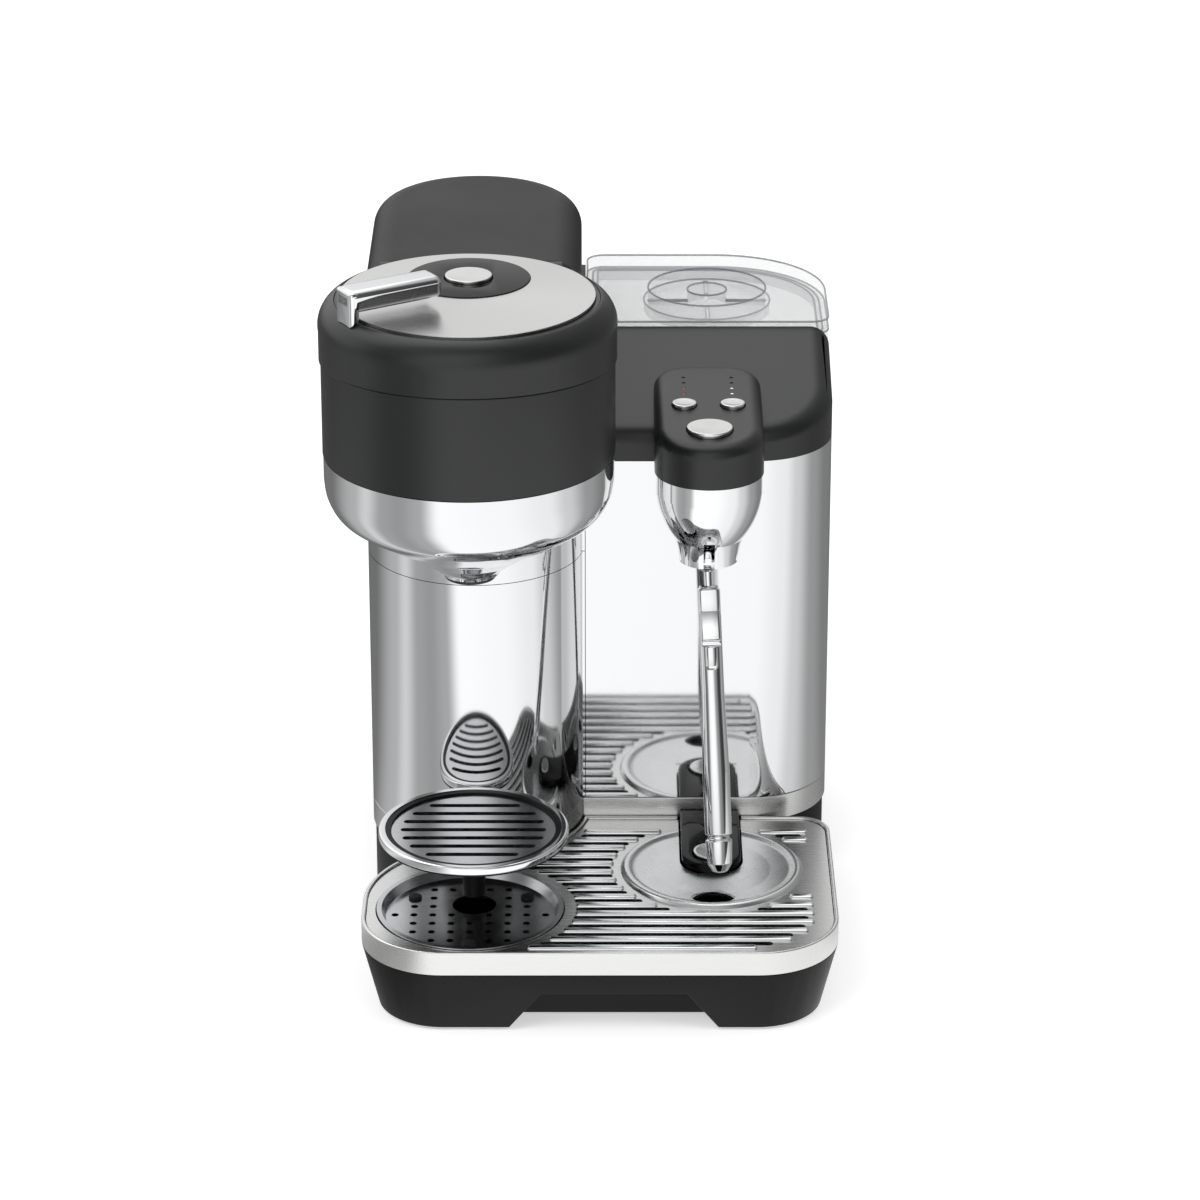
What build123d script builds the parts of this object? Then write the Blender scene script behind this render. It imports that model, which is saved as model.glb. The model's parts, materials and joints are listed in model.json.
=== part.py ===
from build123d import *
import math
import os

# Pod coffee machine with a steam wand. Millimetres, +Z up, front towards -Y.
# The origin is the middle of the overall box, on the surface that the feet stand on.

# Overall places
right_x = 110.0            # right face of the body
back_y = 156.5             # back of the tank and rear cover
panel_y = -13.0            # front face of the mirror panel
tank_front_y = 61.0
foot_height = 4.0
skin = 1.2                 # thickness of the polished sheet
gap = 0.4                  # clearance between parts that move past each other
seam = 0.3                 # joint line between fixed parts

# Brew head
head_x = -48.5
head_y = -95.0
head_r = 61.5
band_z = 250.0             # lower edge of the black band
lid_seam_z = band_z + 40.8  # lid joint at the head's axis
lid_seam_rise = 3.8        # how far the joint climbs from the axis to the front
lid_height = 26.5
lid_top_z = lid_seam_z + lid_height
lid_overhang = 0.7
housing_wall = 5.0
deck_z = band_z + 12.0     # shelf that carries the capsule holder's bearing
deck_thickness = 4.0
holder_r = 31.0
holder_wall = 2.0
holder_depth = 48.0
holder_z0 = deck_z - holder_depth
bearing_r = 40.0
spout_r = 11.0
bowl_depth = 55.5
spout_z = band_z - bowl_depth
bowl_wall = 1.5

# Lid
disc_r = 53.2
groove_r = 55.4
control_r = 26.0
control_offset = 20.6      # control disc's centre behind the head's axis
brew_button_r = 9.9
button_travel = 1.5
hinge_y = -32.0
hinge_z = lid_top_z - 11.0
hinge_spread = 36.0        # bracket posts either side of the head's axis
hinge_width = 6.0
pin_r = 2.5
pin_fit = 0.05
lever_from = (-18.7, -11.3)  # inner and outer end of the lever, from the head's axis
lever_to = (-47.9, -29.4)
lever_width = 13.5
lever_height = 10.5

# Tower and capsule container
tower_y = -5.0
tower_r = 48.0
tower_seam_z = 170.5
tower_back_y = 109.0
bay_front_y = -14.0
bay_wall = 2.5
bay_floor_z = 116.0
container_front_y = -22.0
container_height = 55.0
container_top_z = band_z + container_height
container_r = 46.8         # half of its width, and its round back
container_y = 75.0         # centre of the round back
container_round = 12.0     # top edge
container_wall = 2.2
container_lower_inset = 6.5
mouth_width = 62.0
mouth_height = 30.0

# Base and body
base_wall = 3.0
base_inset = 1.0
band_bottom_z = 38.0
band_top_z = 50.0
front_corner = 36.0
back_corner = 50.0
left_back_corner = 25.0
hood_z = 213.0
hood_front_top_z = hood_z + 14.0
hood_back_top_z = hood_z + 37.0
hood_wall = 2.5
hood_round = 9.0
tongue_x0 = -62.0
tongue_x1 = 74.0
tongue_front_y = -128.0
floor_thickness = 4.0
rear_cover_top_z = band_z - 2.7

# Drip tray
tray_left_x = -97.0
tray_front_y = -150.0
tray_top_z = 41.0
tray_band_z = 30.0
tray_skirt_z = 1.5
tray_taper = 14.0
tray_corner = 36.0
tray_back_round = 60.0     # sweep of the back left corner round to the tower
tray_wall = 2.5
tray_floor = 2.5
band_thickness = 1.8
arch_bottom = 94.0
arch_top = 63.0
arch_height = 20.0
arch_x = 12.5
plate_thickness = 1.6
rib_pitch = 8.2
rib_front = 11.0           # from the tray's front to the middle of the first slot
rib_slot = 3.4
dish_x = -50.0
dish_y = -105.0
dish_r = 41.0
dish_floor_z = 35.5
hole_pitch = 8.2
hole_r = 1.6
keyhole_r = 9.5
jug_x = 56.0
jug_y = -66.0
jug_r = 39.5
drain_r = 10.0
tongue_width = 26.6        # temperature-sensor tongue
tongue_y = -71.0
tongue_top_z = 44.0
tongue_z = 36.5
pad_r = 8.0
pad_thickness = 3.0
pad_proud = 1.5            # how far the pad stands above the tongue

# Cup platform
platform_r = 41.0
platform_z = 74.0
platform_depth = 7.0
platform_rim = 5.0
rim_height = 3.8           # upright edge of the platform's pan, above its sloping underside
pan_slope = 8.5
stem_r = 5.0
stem_z = 42.5

# Control pod, steam cone and wand
pod_x = 54.0
pod_y = -35.0
pod_r = 23.8
pod_z = hood_z + 4.0
pod_front_z = pod_z + 19.0
pod_back_z = pod_z + 25.0
pod_back_y = 34.0
pod_wall = 2.2
pod_corner = 15.0
cone_top_r = 23.3
cone_waist_r = 15.4
cone_bottom_r = 13.0
cone_height = 41.0
cone_z = pod_z - cone_height
cone_wall = 2.0
cone_slot = 4.8
cone_slot_height = 13.0
wand_y = -37.0
wand_z = cone_z + 2.0
wand_lean = 19.1
wand_side_lean = 2.4       # the tube also leans a little to the right
wand_r = 6.0
wand_start = 13.0          # along the wand, from its pivot
wand_groove = 123.0
wand_end = 139.5
wand_stem = 3.8
wand_ball_r = 7.0
small_button_r = 5.4
main_button_r = 10.0
pod_button_rows = ((-10.6, -12.0), (10.6, -12.0), (0.0, -38.0))

# Tank
tank_z = 63.0
tank_top_z = 252.0
tank_lid_height = 6.0
tank_wall = 2.2
tank_left_x = 0.6
recess_r = 27.0
recess_x = 55.7
recess_y = 110.0
knob_r = 9.0
outlet_x = 30.0
outlet_y = 85.0
outlet_r = 9.0


def block(x0, x1, y0, y1, z0, z1):
    """A plain box between two corners."""
    centre = ((x0 + x1) / 2, (y0 + y1) / 2, (z0 + z1) / 2)
    return Pos(*centre) * Box(x1 - x0, y1 - y0, z1 - z0)


def rod(x, y, z0, z1, r):
    """An upright cylinder."""
    return Pos(x, y, (z0 + z1) / 2) * Cylinder(r, z1 - z0)


def tube(x, y, z0, z1, outer, inner):
    """An upright ring."""
    return rod(x, y, z0, z1, outer) - rod(x, y, z0 - 1, z1 + 1, inner)


def cross_rod(x0, x1, y, z, r):
    """A cylinder along X."""
    return Pos((x0 + x1) / 2, y, z) * Rot(0, 90, 0) * Cylinder(r, x1 - x0)


def turned(x, y, points):
    """A solid of revolution about the upright line through x, y, from (radius, height) points."""
    face = Plane.XZ * make_face(Polyline(*points, close=True))
    return Pos(x, y, 0) * revolve(face, Axis.Z)


def rounded(x0, x1, y0, y1, front_left=0, front_right=0, back_right=0, back_left=0):
    """A rectangle in plan with its own radius at each corner."""
    sketch = Pos((x0 + x1) / 2, (y0 + y1) / 2) * Rectangle(x1 - x0, y1 - y0)
    corners = ((x0, y0, front_left), (x1, y0, front_right), (x1, y1, back_right), (x0, y1, back_left))
    for x, y, radius in corners:
        if radius > 0:
            sketch = fillet(sketch.vertices().sort_by_distance((x, y, 0))[0], radius)
    return sketch


def prism(sketch, z0, z1):
    """A plan raised from one height to another."""
    return extrude(Pos(0, 0, z0) * sketch, z1 - z0)


def slot(x0, x1, y, width, z0, z1):
    """A round-ended slot along X."""
    plan = Pos((x0 + x1) / 2, y) * SlotOverall(x1 - x0, width)
    return prism(plan, z0, z1)


tower_right_x = head_x + tower_r
tower_left_x = head_x - tower_r
split_x = tower_right_x + seam


def body_plan(inset):
    """Outline of the body: a round tower on the left and a square-backed body on the right."""
    right = rounded(head_x, right_x - inset, panel_y + inset, back_y - inset,
                    front_right=front_corner - inset, back_right=back_corner - inset)
    left = rounded(tower_left_x + inset, head_x + 1, tower_y, back_y - inset,
                   back_left=left_back_corner - inset)
    return right + left + Pos(head_x, tower_y) * Circle(tower_r - inset)


def body_ring(outer, inner, z0, z1):
    return prism(body_plan(outer), z0, z1) - prism(body_plan(inner), z0 - 1, z1 + 1)


frame_inner = base_inset + base_wall + skin
floor_top_z = foot_height + floor_thickness
upstand_z = band_top_z - 3


def base_frame():
    floor = prism(body_plan(base_inset), foot_height, floor_top_z)
    wall = body_ring(base_inset, frame_inner, floor_top_z, band_bottom_z - seam)
    upstand = body_ring(base_inset + skin + seam, frame_inner, band_bottom_z - seam, upstand_z)
    tongue = prism(rounded(tongue_x0, tongue_x1, tongue_front_y, panel_y, 12, 12), foot_height, floor_top_z)
    return floor + wall + upstand + tongue - inlet_cut()


inlet_x = -55.0
inlet_z = 24.0
inlet_width = 27.0
inlet_height = 20.0
inlet_depth = 16.0


def inlet_cut():
    return block(inlet_x - inlet_width / 2, inlet_x + inlet_width / 2, back_y - frame_inner - 1, back_y,
                 inlet_z - inlet_height / 2, inlet_z + inlet_height / 2)


def mains_inlet():
    """Appliance inlet: a shell with three blades, set in the back wall of the base."""
    fit = seam / 2
    body = block(inlet_x - inlet_width / 2 + fit, inlet_x + inlet_width / 2 - fit,
                 back_y - frame_inner - inlet_depth, back_y - base_inset,
                 inlet_z - inlet_height / 2 + fit, inlet_z + inlet_height / 2 - fit)
    well = block(inlet_x - inlet_width / 2 + 2.5, inlet_x + inlet_width / 2 - 2.5,
                 back_y - frame_inner - inlet_depth + 3, back_y,
                 inlet_z - inlet_height / 2 + 2.5, inlet_z + inlet_height / 2 - 2.5)
    body = body - well
    for offset in (-7, 0, 7):
        blade_y = back_y - frame_inner - inlet_depth + 3
        rise = 1.5 if offset == 0 else -1.5
        body += block(inlet_x + offset - 1, inlet_x + offset + 1, blade_y - 1, blade_y + 12,
                      inlet_z + rise - 2, inlet_z + rise + 2)
    stand = block(inlet_x - 8, inlet_x + 8, back_y - frame_inner - inlet_depth + 1, back_y - frame_inner - 2,
                  floor_top_z, inlet_z - inlet_height / 2 + fit)
    return body + stand


foot_r = 8.0
foot_places = ((tongue_x0 + 14, tongue_front_y + 14), (tongue_x1 - 14, tongue_front_y + 14),
               (tower_left_x + 30, back_y - 30), (right_x - 45, back_y - 30))


def foot_pads():
    return [rod(x, y, 0, foot_height, foot_r) for x, y in foot_places]


screw_r = 3.5
screw_head = 1.8
screw_offset = 30.0
screw_y = back_y - screw_offset
screw_places = ((head_x - screw_offset, tower_y + screw_offset),
                (head_x + screw_offset, tower_y + screw_offset), (head_x, screw_y), (right_x / 3, screw_y))


def base_screws():
    """Screws up through the floor into the bay's and rear cover's bosses."""
    return [rod(x, y, foot_height - screw_head, foot_height, screw_r) for x, y in screw_places]


def base_band():
    return body_ring(0, base_inset + skin, band_bottom_z, band_top_z)


panel_z = band_top_z + seam


def body_panel():
    sheet = body_ring(0, skin, panel_z, hood_z)
    return sheet & block(split_x + seam, right_x + 1, panel_y - 1, tank_front_y - seam, panel_z, hood_z)


def bowl_profile(offset):
    """Outside of the brew bowl from its rim down to its lip; a positive offset grows it."""
    lip_r = spout_r + bowl_wall
    reach = head_r - seam - lip_r
    steps = ((1.0, 1.0), (1.0, 0.83), (0.985, 0.7), (0.93, 0.582), (0.838, 0.482), (0.745, 0.418),
             (0.61, 0.352), (0.487, 0.297), (0.365, 0.24), (0.243, 0.175), (0.14, 0.105), (0.065, 0.05),
             (0.0, 0.0))
    points = [(lip_r + out * reach, spout_z + up * (bowl_depth - seam)) for out, up in steps]
    return [(r + offset, z - offset * 0.7) for r, z in points]


def bowl_solid(offset):
    edge = bowl_profile(offset)
    return turned(head_x, head_y, [(0, edge[0][1])] + edge + [(0, edge[-1][1])])


belt_z0 = band_z - 14.0
belt_width = 8.0
belt_z1 = belt_z0 + belt_width
window_half = 30.0


def brew_bowl():
    """Polished bowl with a mouth for the spout and a window at the back for the drive belt."""
    bowl = bowl_solid(0) - bowl_solid(-bowl_wall)
    bowl -= rod(head_x, head_y, spout_z - 5, spout_z + 20, spout_r - seam)
    return bowl - block(head_x - window_half, head_x + window_half, head_y + 20, head_y + head_r + 5,
                        belt_z0 - 4, band_z + 1)


def tower_skin(z0, z1):
    sheet = body_ring(0, skin, z0, z1)
    return sheet & block(tower_left_x - 1, split_x, tower_y - tower_r - 1, tower_back_y, z0, z1)


def tower_lower():
    return tower_skin(panel_z, tower_seam_z - seam / 2)


shelf_thickness = 2.4
shelf_z = band_z - shelf_thickness


def tower_upper():
    return tower_skin(tower_seam_z + seam / 2, shelf_z) - bowl_solid(gap)


bay_x0 = tower_left_x + container_lower_inset
bay_x1 = tower_right_x - container_lower_inset
bay_back_y = container_y + 8.0
shelf_back_y = tower_back_y - 1.5
motor_y = head_y + 65.5
motor_r = 13.0
motor_length = 52.0
motor_z = belt_z0 - 22.0
bracket_thickness = 3.0


def container_bay():
    """Upright box that the capsule container drops into; it also carries the head and the motor."""
    walls = block(bay_x0, bay_x1, bay_front_y, bay_back_y, floor_top_z, band_z)
    inside = block(bay_x0 + bay_wall, bay_x1 - bay_wall, bay_front_y + bay_wall, bay_back_y - bay_wall,
                   bay_floor_z + bay_wall, band_z + 1)
    under = block(bay_x0 + bay_wall, bay_x1 - bay_wall, bay_front_y + bay_wall, bay_back_y - bay_wall,
                  floor_top_z - 1, bay_floor_z)
    shelf_plan = rounded(tower_left_x, tower_right_x, tower_y, shelf_back_y)
    shelf_plan += Pos(head_x, tower_y) * Circle(tower_r)
    shelf = prism(shelf_plan, shelf_z, band_z) - rod(head_x, head_y, shelf_z - 1, band_z + 1, head_r + seam)
    bracket = block(head_x - motor_r - 4, head_x + motor_r + 4, motor_y - motor_r - 2, bay_front_y,
                    motor_z, motor_z + bracket_thickness)
    bracket -= rod(head_x, motor_y, motor_z - 1, motor_z + 10, 5) + bowl_solid(gap)
    return walls + shelf + bracket - inside - under


vent_rows = 6
vent_pitch = 12.0
vent_height = 4.0
vent_half = 22.0
vent_drop = 56.0


def rear_cover():
    """Black cover over the electronics, behind the capsule container."""
    z0 = panel_z
    y0 = tower_back_y + seam
    keep = block(tower_left_x - 1, split_x, y0, back_y + 1, z0, rear_cover_top_z)
    outer = prism(body_plan(0), z0, rear_cover_top_z) & keep
    hollow_plan = rounded(tower_left_x + bay_wall, split_x - bay_wall, y0 - 1, back_y - bay_wall,
                          back_left=left_back_corner - bay_wall)
    cover = outer - prism(hollow_plan, z0 - 1, rear_cover_top_z - bay_wall)
    for row in range(vent_rows):
        z = rear_cover_top_z - vent_drop - vent_pitch * row
        cover -= block(head_x - vent_half, head_x + vent_half, back_y - bay_wall - 1, back_y + 1,
                       z, z + vent_height)
    return cover


def hood_solid(inset):
    """Sloping top cover of the body; a positive inset gives the space inside it."""
    y0 = panel_y + inset
    y1 = tank_front_y - seam - inset
    z_front = hood_front_top_z - inset
    z_back = hood_back_top_z - inset
    side = Plane.YZ * make_face(Polyline((y0, hood_z), (y1, hood_z), (y1, z_back), (y0, z_front), close=True))
    slab = extrude(Pos(split_x + seam + inset, 0, 0) * side, right_x - split_x - seam - 2 * inset)
    corner = front_corner - inset
    plan = rounded(split_x, right_x - inset, y0, y1, front_right=corner)
    return slab & prism(plan, hood_z - 1, hood_back_top_z + 5)


def hood():
    outer = hood_solid(0)
    top = outer.faces().filter_by(lambda f: f.normal_at().Z > 0.5).sort_by(Axis.Z)[-1]
    rim = [e for e in top.edges() if e.center().Y < tank_front_y - 2 and e.center().X > split_x + 2]
    outer = fillet(rim, hood_round)
    opening = prism(pod_plan(pod_wall + 2 * seam), pod_z + pod_wall + 1, pod_back_z + 5)
    return outer - hood_solid(hood_wall) - opening


wall_y0 = tank_front_y - 4
wall_y1 = tank_front_y - seam - hood_wall - 0.2


def rear_wall():
    """Upright wall between the works and the water tank."""
    x1 = right_x - frame_inner - seam
    return block(split_x + hood_wall + 2 * seam, x1, wall_y0 - 2, wall_y1 - 1, floor_top_z, hood_z + 20)


seat_thickness = 6.0
seat_z = tank_z - seam - seat_thickness


def tank_seat():
    """Platform under the tank with a spigot for the tank's outlet."""
    plan = rounded(tank_left_x, right_x - 1, tank_front_y, back_y - 1, back_right=back_corner - 1)
    plate = prism(plan, seat_z, seat_z + seat_thickness)
    post = body_ring(frame_inner + seam, frame_inner + base_wall, floor_top_z, seat_z)
    post &= block(tank_left_x + 1, right_x, tank_front_y + 1, back_y, floor_top_z, seat_z)
    return plate + post - rod(outlet_x, outlet_y, seat_z - 1, tank_z, outlet_r + 1)


def tank_seal():
    """Rubber ring around the tank's outlet."""
    return tube(outlet_x, outlet_y, seat_z, tank_z - seam, outlet_r + 1 - 0.05, outlet_r - 2.5)


def seam_cutter(above, shift=0.0):
    """Half space above or below the sloping lid joint, moved up by a shift."""
    angle = math.degrees(math.atan2(lid_seam_rise, head_r))
    size = 3 * head_r
    side = size / 2 if above else -size / 2
    half_space = Rot(-angle, 0, 0) * Pos(0, 0, side) * Box(size, size, size)
    return Pos(head_x, head_y, lid_seam_z + shift) * half_space


housing_r = head_r - housing_wall
neck_half = 38.0
neck_y1 = container_front_y - 1.0


def brew_housing():
    """Black band of the head with the deck inside it, the neck behind it and the hinge posts."""
    top_z = lid_seam_z + lid_seam_rise
    ring = rod(head_x, head_y, band_z, top_z, head_r)
    neck = block(head_x - neck_half, head_x + neck_half, head_y + 20, neck_y1, band_z, top_z)
    shell = ring + neck - seam_cutter(True)
    shell -= rod(head_x, head_y, band_z - 1, top_z + 1, housing_r)
    deck = tube(head_x, head_y, deck_z, deck_z + deck_thickness, housing_r + 1, bearing_r)
    shell += deck
    shell -= block(head_x - mouth_width / 2, head_x + mouth_width / 2, head_y + bearing_r, neck_y1 + 1,
                   deck_z + deck_thickness, top_z + 1)
    for side in (-1, 1):
        x = head_x + side * hinge_spread
        post = block(x - hinge_width / 2, x + hinge_width / 2, hinge_y - 5, neck_y1, band_z + 5, hinge_z)
        knuckle = cross_rod(x - hinge_width / 2, x + hinge_width / 2, hinge_y, hinge_z, 5)
        shell += post + knuckle
        shell -= cross_rod(x - hinge_width, x + hinge_width, hinge_y, hinge_z, pin_r)
    return shell


ear_offset = hinge_spread - hinge_width - seam


def hinge_pins():
    pins = []
    for side in (-1, 1):
        inner = head_x + side * (ear_offset - hinge_width / 2)
        outer = head_x + side * (hinge_spread + hinge_width / 2)
        pins.append(cross_rod(min(inner, outer), max(inner, outer), hinge_y, hinge_z, pin_r))
    return pins


def spout_insert():
    """Black nozzle in the mouth of the bowl."""
    inner = spout_r - 4
    points = [(inner, spout_z - 2), (spout_r - seam, spout_z - 2), (spout_r - seam, spout_z + 4),
              (18, spout_z + 12.5), (14, spout_z + 12.5), (inner, spout_z + 5)]
    return turned(head_x, head_y, points)


pulley_r = 37.0
motor_pulley_r = 8.0
belt_thickness = 1.4
run_fit = 0.05


def capsule_holder():
    """Spinning cup for the capsule, with a belt rim around it."""
    z1 = deck_z + deck_thickness
    outer = rod(head_x, head_y, holder_z0, z1, holder_r + holder_wall)
    rim = rod(head_x, head_y, belt_z0 - 1, belt_z1 + 1, pulley_r)
    rim += rod(head_x, head_y, belt_z0 - 2, belt_z0 - 1, pulley_r + 2)
    cup = outer + rim - rod(head_x, head_y, holder_z0 + 4, z1 + 1, holder_r)
    return cup - rod(head_x, head_y, holder_z0 - 1, holder_z0 + 5, 4)


def holder_bearing():
    """Ball bearing ring between the deck and the spinning cup."""
    inner = holder_r + holder_wall + run_fit
    return tube(head_x, head_y, deck_z, deck_z + deck_thickness, bearing_r, inner)


def brew_motor():
    body = rod(head_x, motor_y, motor_z - motor_length, motor_z, motor_r)
    boss = rod(head_x, motor_y, motor_z, motor_z + bracket_thickness, 5 - run_fit)
    shaft = rod(head_x, motor_y, motor_z, belt_z1 - 2, 2)
    return body + boss + shaft


def motor_pulley():
    wheel = rod(head_x, motor_y, belt_z0 - 1, belt_z1 + 1, motor_pulley_r)
    wheel += rod(head_x, motor_y, belt_z0 - 3, belt_z0 - 1, motor_pulley_r + 2)
    return wheel - rod(head_x, motor_y, belt_z0 - 4, belt_z1 - 2, 2 + run_fit)


def belt_plan(grow):
    """Outline of a belt around the holder's rim and the motor pulley."""
    span = motor_y - head_y
    big = pulley_r + grow
    small = motor_pulley_r + grow
    sine = (big - small) / span
    cosine = math.sqrt(1 - sine * sine)
    left = [(-big * cosine, big * sine), (-small * cosine, span + small * sine)]
    right = [(small * cosine, span + small * sine), (big * cosine, big * sine)]
    sides = make_face(Polyline(*left, *right, close=True))
    loop = sides + Circle(big) + Pos(0, span) * Circle(small)
    return Pos(head_x, head_y) * loop


def drive_belt():
    start = run_fit * 2
    outer = prism(belt_plan(start + belt_thickness), belt_z0, belt_z1)
    return outer - prism(belt_plan(start), belt_z0 - 1, belt_z1 + 1)


def pod_plan(inset):
    """Outline of the control pod, round at the front and round-cornered at the back."""
    r = pod_r - inset
    corner = pod_corner - inset
    body = rounded(pod_x - r, pod_x + r, pod_y, pod_back_y - inset, back_right=corner, back_left=corner)
    return body + Pos(pod_x, pod_y) * Circle(r)


def pod_solid(inset):
    """Control pod: a long round-ended block that runs back onto the hood."""
    y0 = pod_y - pod_r - 1
    slope = (pod_back_z - pod_front_z) / (pod_back_y - pod_y + pod_r)
    z_start = pod_front_z - slope - inset
    z_end = pod_back_z + slope - inset
    z0 = pod_z + inset
    y1 = pod_back_y + 1
    side = make_face(Polyline((y0, z0), (y1, z0), (y1, z_end), (y0, z_start), close=True))
    slab = extrude(Pos(pod_x - pod_r - 1, 0, 0) * (Plane.YZ * side), 2 * pod_r + 2)
    return slab & prism(pod_plan(inset), pod_z - 1, pod_back_z + 2)


pod_round = 6.0
lamp_rows = 4
lamp_pitch = 5.8
lamp_x = 10.6
lamp_y = 0.5
lamp_r = 0.9


def pod_top_z(y):
    """Height of the pod's sloping top."""
    slope = (pod_back_z - pod_front_z) / (pod_back_y - pod_y + pod_r)
    return pod_front_z + slope * (y - (pod_y - pod_r))


def pod_button_radius(index):
    return main_button_r if index == 2 else small_button_r


def pod_shell():
    outer = pod_solid(0)
    top = outer.faces().filter_by(lambda f: f.normal_at().Z > 0.5).sort_by(Axis.Z)[-1]
    rim = [e for e in top.edges() if e.center().Y < pod_back_y - 1]
    outer = fillet(rim, pod_round)
    shell = outer - hood_solid(0) - pod_solid(pod_wall)
    for index, (x, y) in enumerate(pod_button_rows):
        shell -= rod(pod_x + x, y, pod_z + pod_wall + 1, pod_back_z + 5, pod_button_radius(index) + gap)
    for x, y in lamp_places():
        shell -= rod(x, y, pod_z + pod_wall + 1, pod_back_z + 5, lamp_r)
    return shell - rod(pod_x, pod_y, pod_z - 1, pod_z + pod_wall + 1, 6)


def lamp_places():
    rows = range(lamp_rows)
    return [(pod_x + side * lamp_x, lamp_y + row * lamp_pitch) for side in (-1, 1) for row in rows]


board_z = pod_z + pod_wall + 4
board_thickness = 1.6


def pod_lamps():
    lenses = []
    for x, y in lamp_places():
        lenses.append(rod(x, y, board_z + board_thickness, pod_top_z(y) + 0.1, lamp_r))
    return lenses


def pod_board():
    """Small circuit board under the pod's buttons, on two posts."""
    board = prism(pod_plan(pod_wall + 1), board_z, board_z + board_thickness)
    for side in (-1, 1):
        board += rod(pod_x + side * 12, pod_y + 8, pod_z + pod_wall, board_z, 3)
    return board


def pod_button(index):
    """A button with its stem; the stem's end stands one travel above the board."""
    x, y = pod_button_rows[index]
    r = pod_button_radius(index)
    z = pod_top_z(y)
    return rod(pod_x + x, y, board_z + board_thickness + button_travel + 0.3, z + 1.8, r)


def steam_cone():
    """Chrome cone under the pod, slotted at the front for the wand's stem, with the pivot's seat inside."""
    waist = (cone_waist_r, cone_z + cone_height * 0.27)
    shoulder = (cone_top_r, cone_z + cone_height * 0.78)
    belly = (cone_top_r - 2.6, cone_z + cone_height * 0.5)
    flare = (cone_bottom_r + 0.5, cone_z + cone_height * 0.11)
    edges = [Line((0, cone_z), (cone_bottom_r, cone_z)), ThreePointArc((cone_bottom_r, cone_z), flare, waist),
             ThreePointArc(waist, belly, shoulder), Line(shoulder, (cone_top_r, pod_z)),
             Line((cone_top_r, pod_z), (0, pod_z)), Line((0, pod_z), (0, cone_z))]
    outer = Pos(pod_x, pod_y, 0) * revolve(Plane.XZ * make_face(edges), Axis.Z)
    mouth_r = cone_bottom_r - cone_wall
    inner = [(0, cone_z - 1), (mouth_r, cone_z - 1), (mouth_r, cone_z + cone_height * 0.2),
             (belly[0] - cone_wall - 1, belly[1]), (cone_top_r - cone_wall, shoulder[1]),
             (cone_top_r - cone_wall, pod_z - cone_wall), (0, pod_z - cone_wall)]
    cone = outer - turned(pod_x, pod_y, inner)
    cone -= rod(pod_x, pod_y, pod_z - cone_wall - 1, pod_z + 1, 6)
    cone -= block(pod_x - cone_slot / 2, pod_x + cone_slot / 2, pod_y - cone_top_r - 1, pod_y,
                  cone_z - 1, cone_z + cone_slot_height)
    for side in (-1, 1):
        inner_x = pod_x + side * (wand_ball_r + gap)
        outer_x = pod_x + side * (cone_bottom_r - 0.5)
        cone += block(min(inner_x, outer_x), max(inner_x, outer_x), wand_y - seat_half, wand_y + seat_half,
                      wand_z - 1, wand_z + 6)
    bore_half = cone_bottom_r - 2.5
    cone -= cross_rod(pod_x - bore_half, pod_x + bore_half, wand_y, wand_z, trunnion_r + run_fit)
    return cone - block(pod_x - 30, pod_x + 30, panel_y - seam, 0, cone_z, pod_z)


trunnion_r = 1.8
seat_half = 3.0


def along_wand(shape):
    """Place a shape that hangs down from the origin so that it follows the wand."""
    return Pos(pod_x, wand_y, wand_z) * Rot(-wand_lean, 0, 0) * shape


def side_lean(shape):
    """Lean a shape sideways about the top of the wand's tube."""
    return Pos(0, 0, -wand_start) * Rot(0, -wand_side_lean, 0) * Pos(0, 0, wand_start) * shape


lift_half = 4.3
lift_length = 24.0
lift_r = 4.0


def wand_tube():
    """Wand with its ball, flat stem, collar and finger lift; the ball's trunnions turn in the cone."""
    ball = Sphere(wand_ball_r)
    pins = cross_rod(-wand_ball_r - 3, wand_ball_r + 3, 0, 0, trunnion_r)
    stem = block(-wand_stem / 2, wand_stem / 2, -4, 4, -wand_start - 1, 0)
    body = rod(0, 0, -wand_groove, -wand_start, wand_r)
    lift = block(-lift_half, lift_half, -wand_r - 3, -wand_r + 2, -wand_start - lift_length, -wand_start)
    lift += cross_rod(-lift_half, lift_half, -wand_r - 2.5, -wand_start - lift_length, lift_r)
    return along_wand(ball + pins + stem + side_lean(body + lift))


tip_neck_r = wand_r - 1.2
tip_groove = 1.5


def wand_tip():
    points = [(0, -wand_groove), (tip_neck_r, -wand_groove), (tip_neck_r, -wand_groove - tip_groove),
              (wand_r, -wand_groove - tip_groove), (wand_r - 0.6, -wand_end + 4), (wand_r - 2.5, -wand_end),
              (0, -wand_end)]
    return along_wand(side_lean(turned(0, 0, points)))


pad_y = tongue_y + tongue_width / 2
pad_z = tongue_top_z + pad_proud - pad_thickness


def tongue_plan(grow):
    half = tongue_width / 2 + grow
    return rounded(jug_x - half, jug_x + half, pad_y, panel_y - seam) + Pos(jug_x, pad_y) * Circle(half)


def sensor_tongue():
    """Black tongue that reaches out over the tray and carries the temperature sensor."""
    tongue = prism(tongue_plan(0), tongue_z, tongue_top_z)
    well = rod(jug_x, pad_y, pad_z - button_travel - seam, tongue_top_z + 1, pad_r + gap)
    return tongue - well


def sensor_pad():
    """Sprung metal pad that touches the jug."""
    return rod(jug_x, pad_y, pad_z, pad_z + pad_thickness, pad_r)


bracket_half = 12.0
lug_z = platform_z - platform_depth


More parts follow.
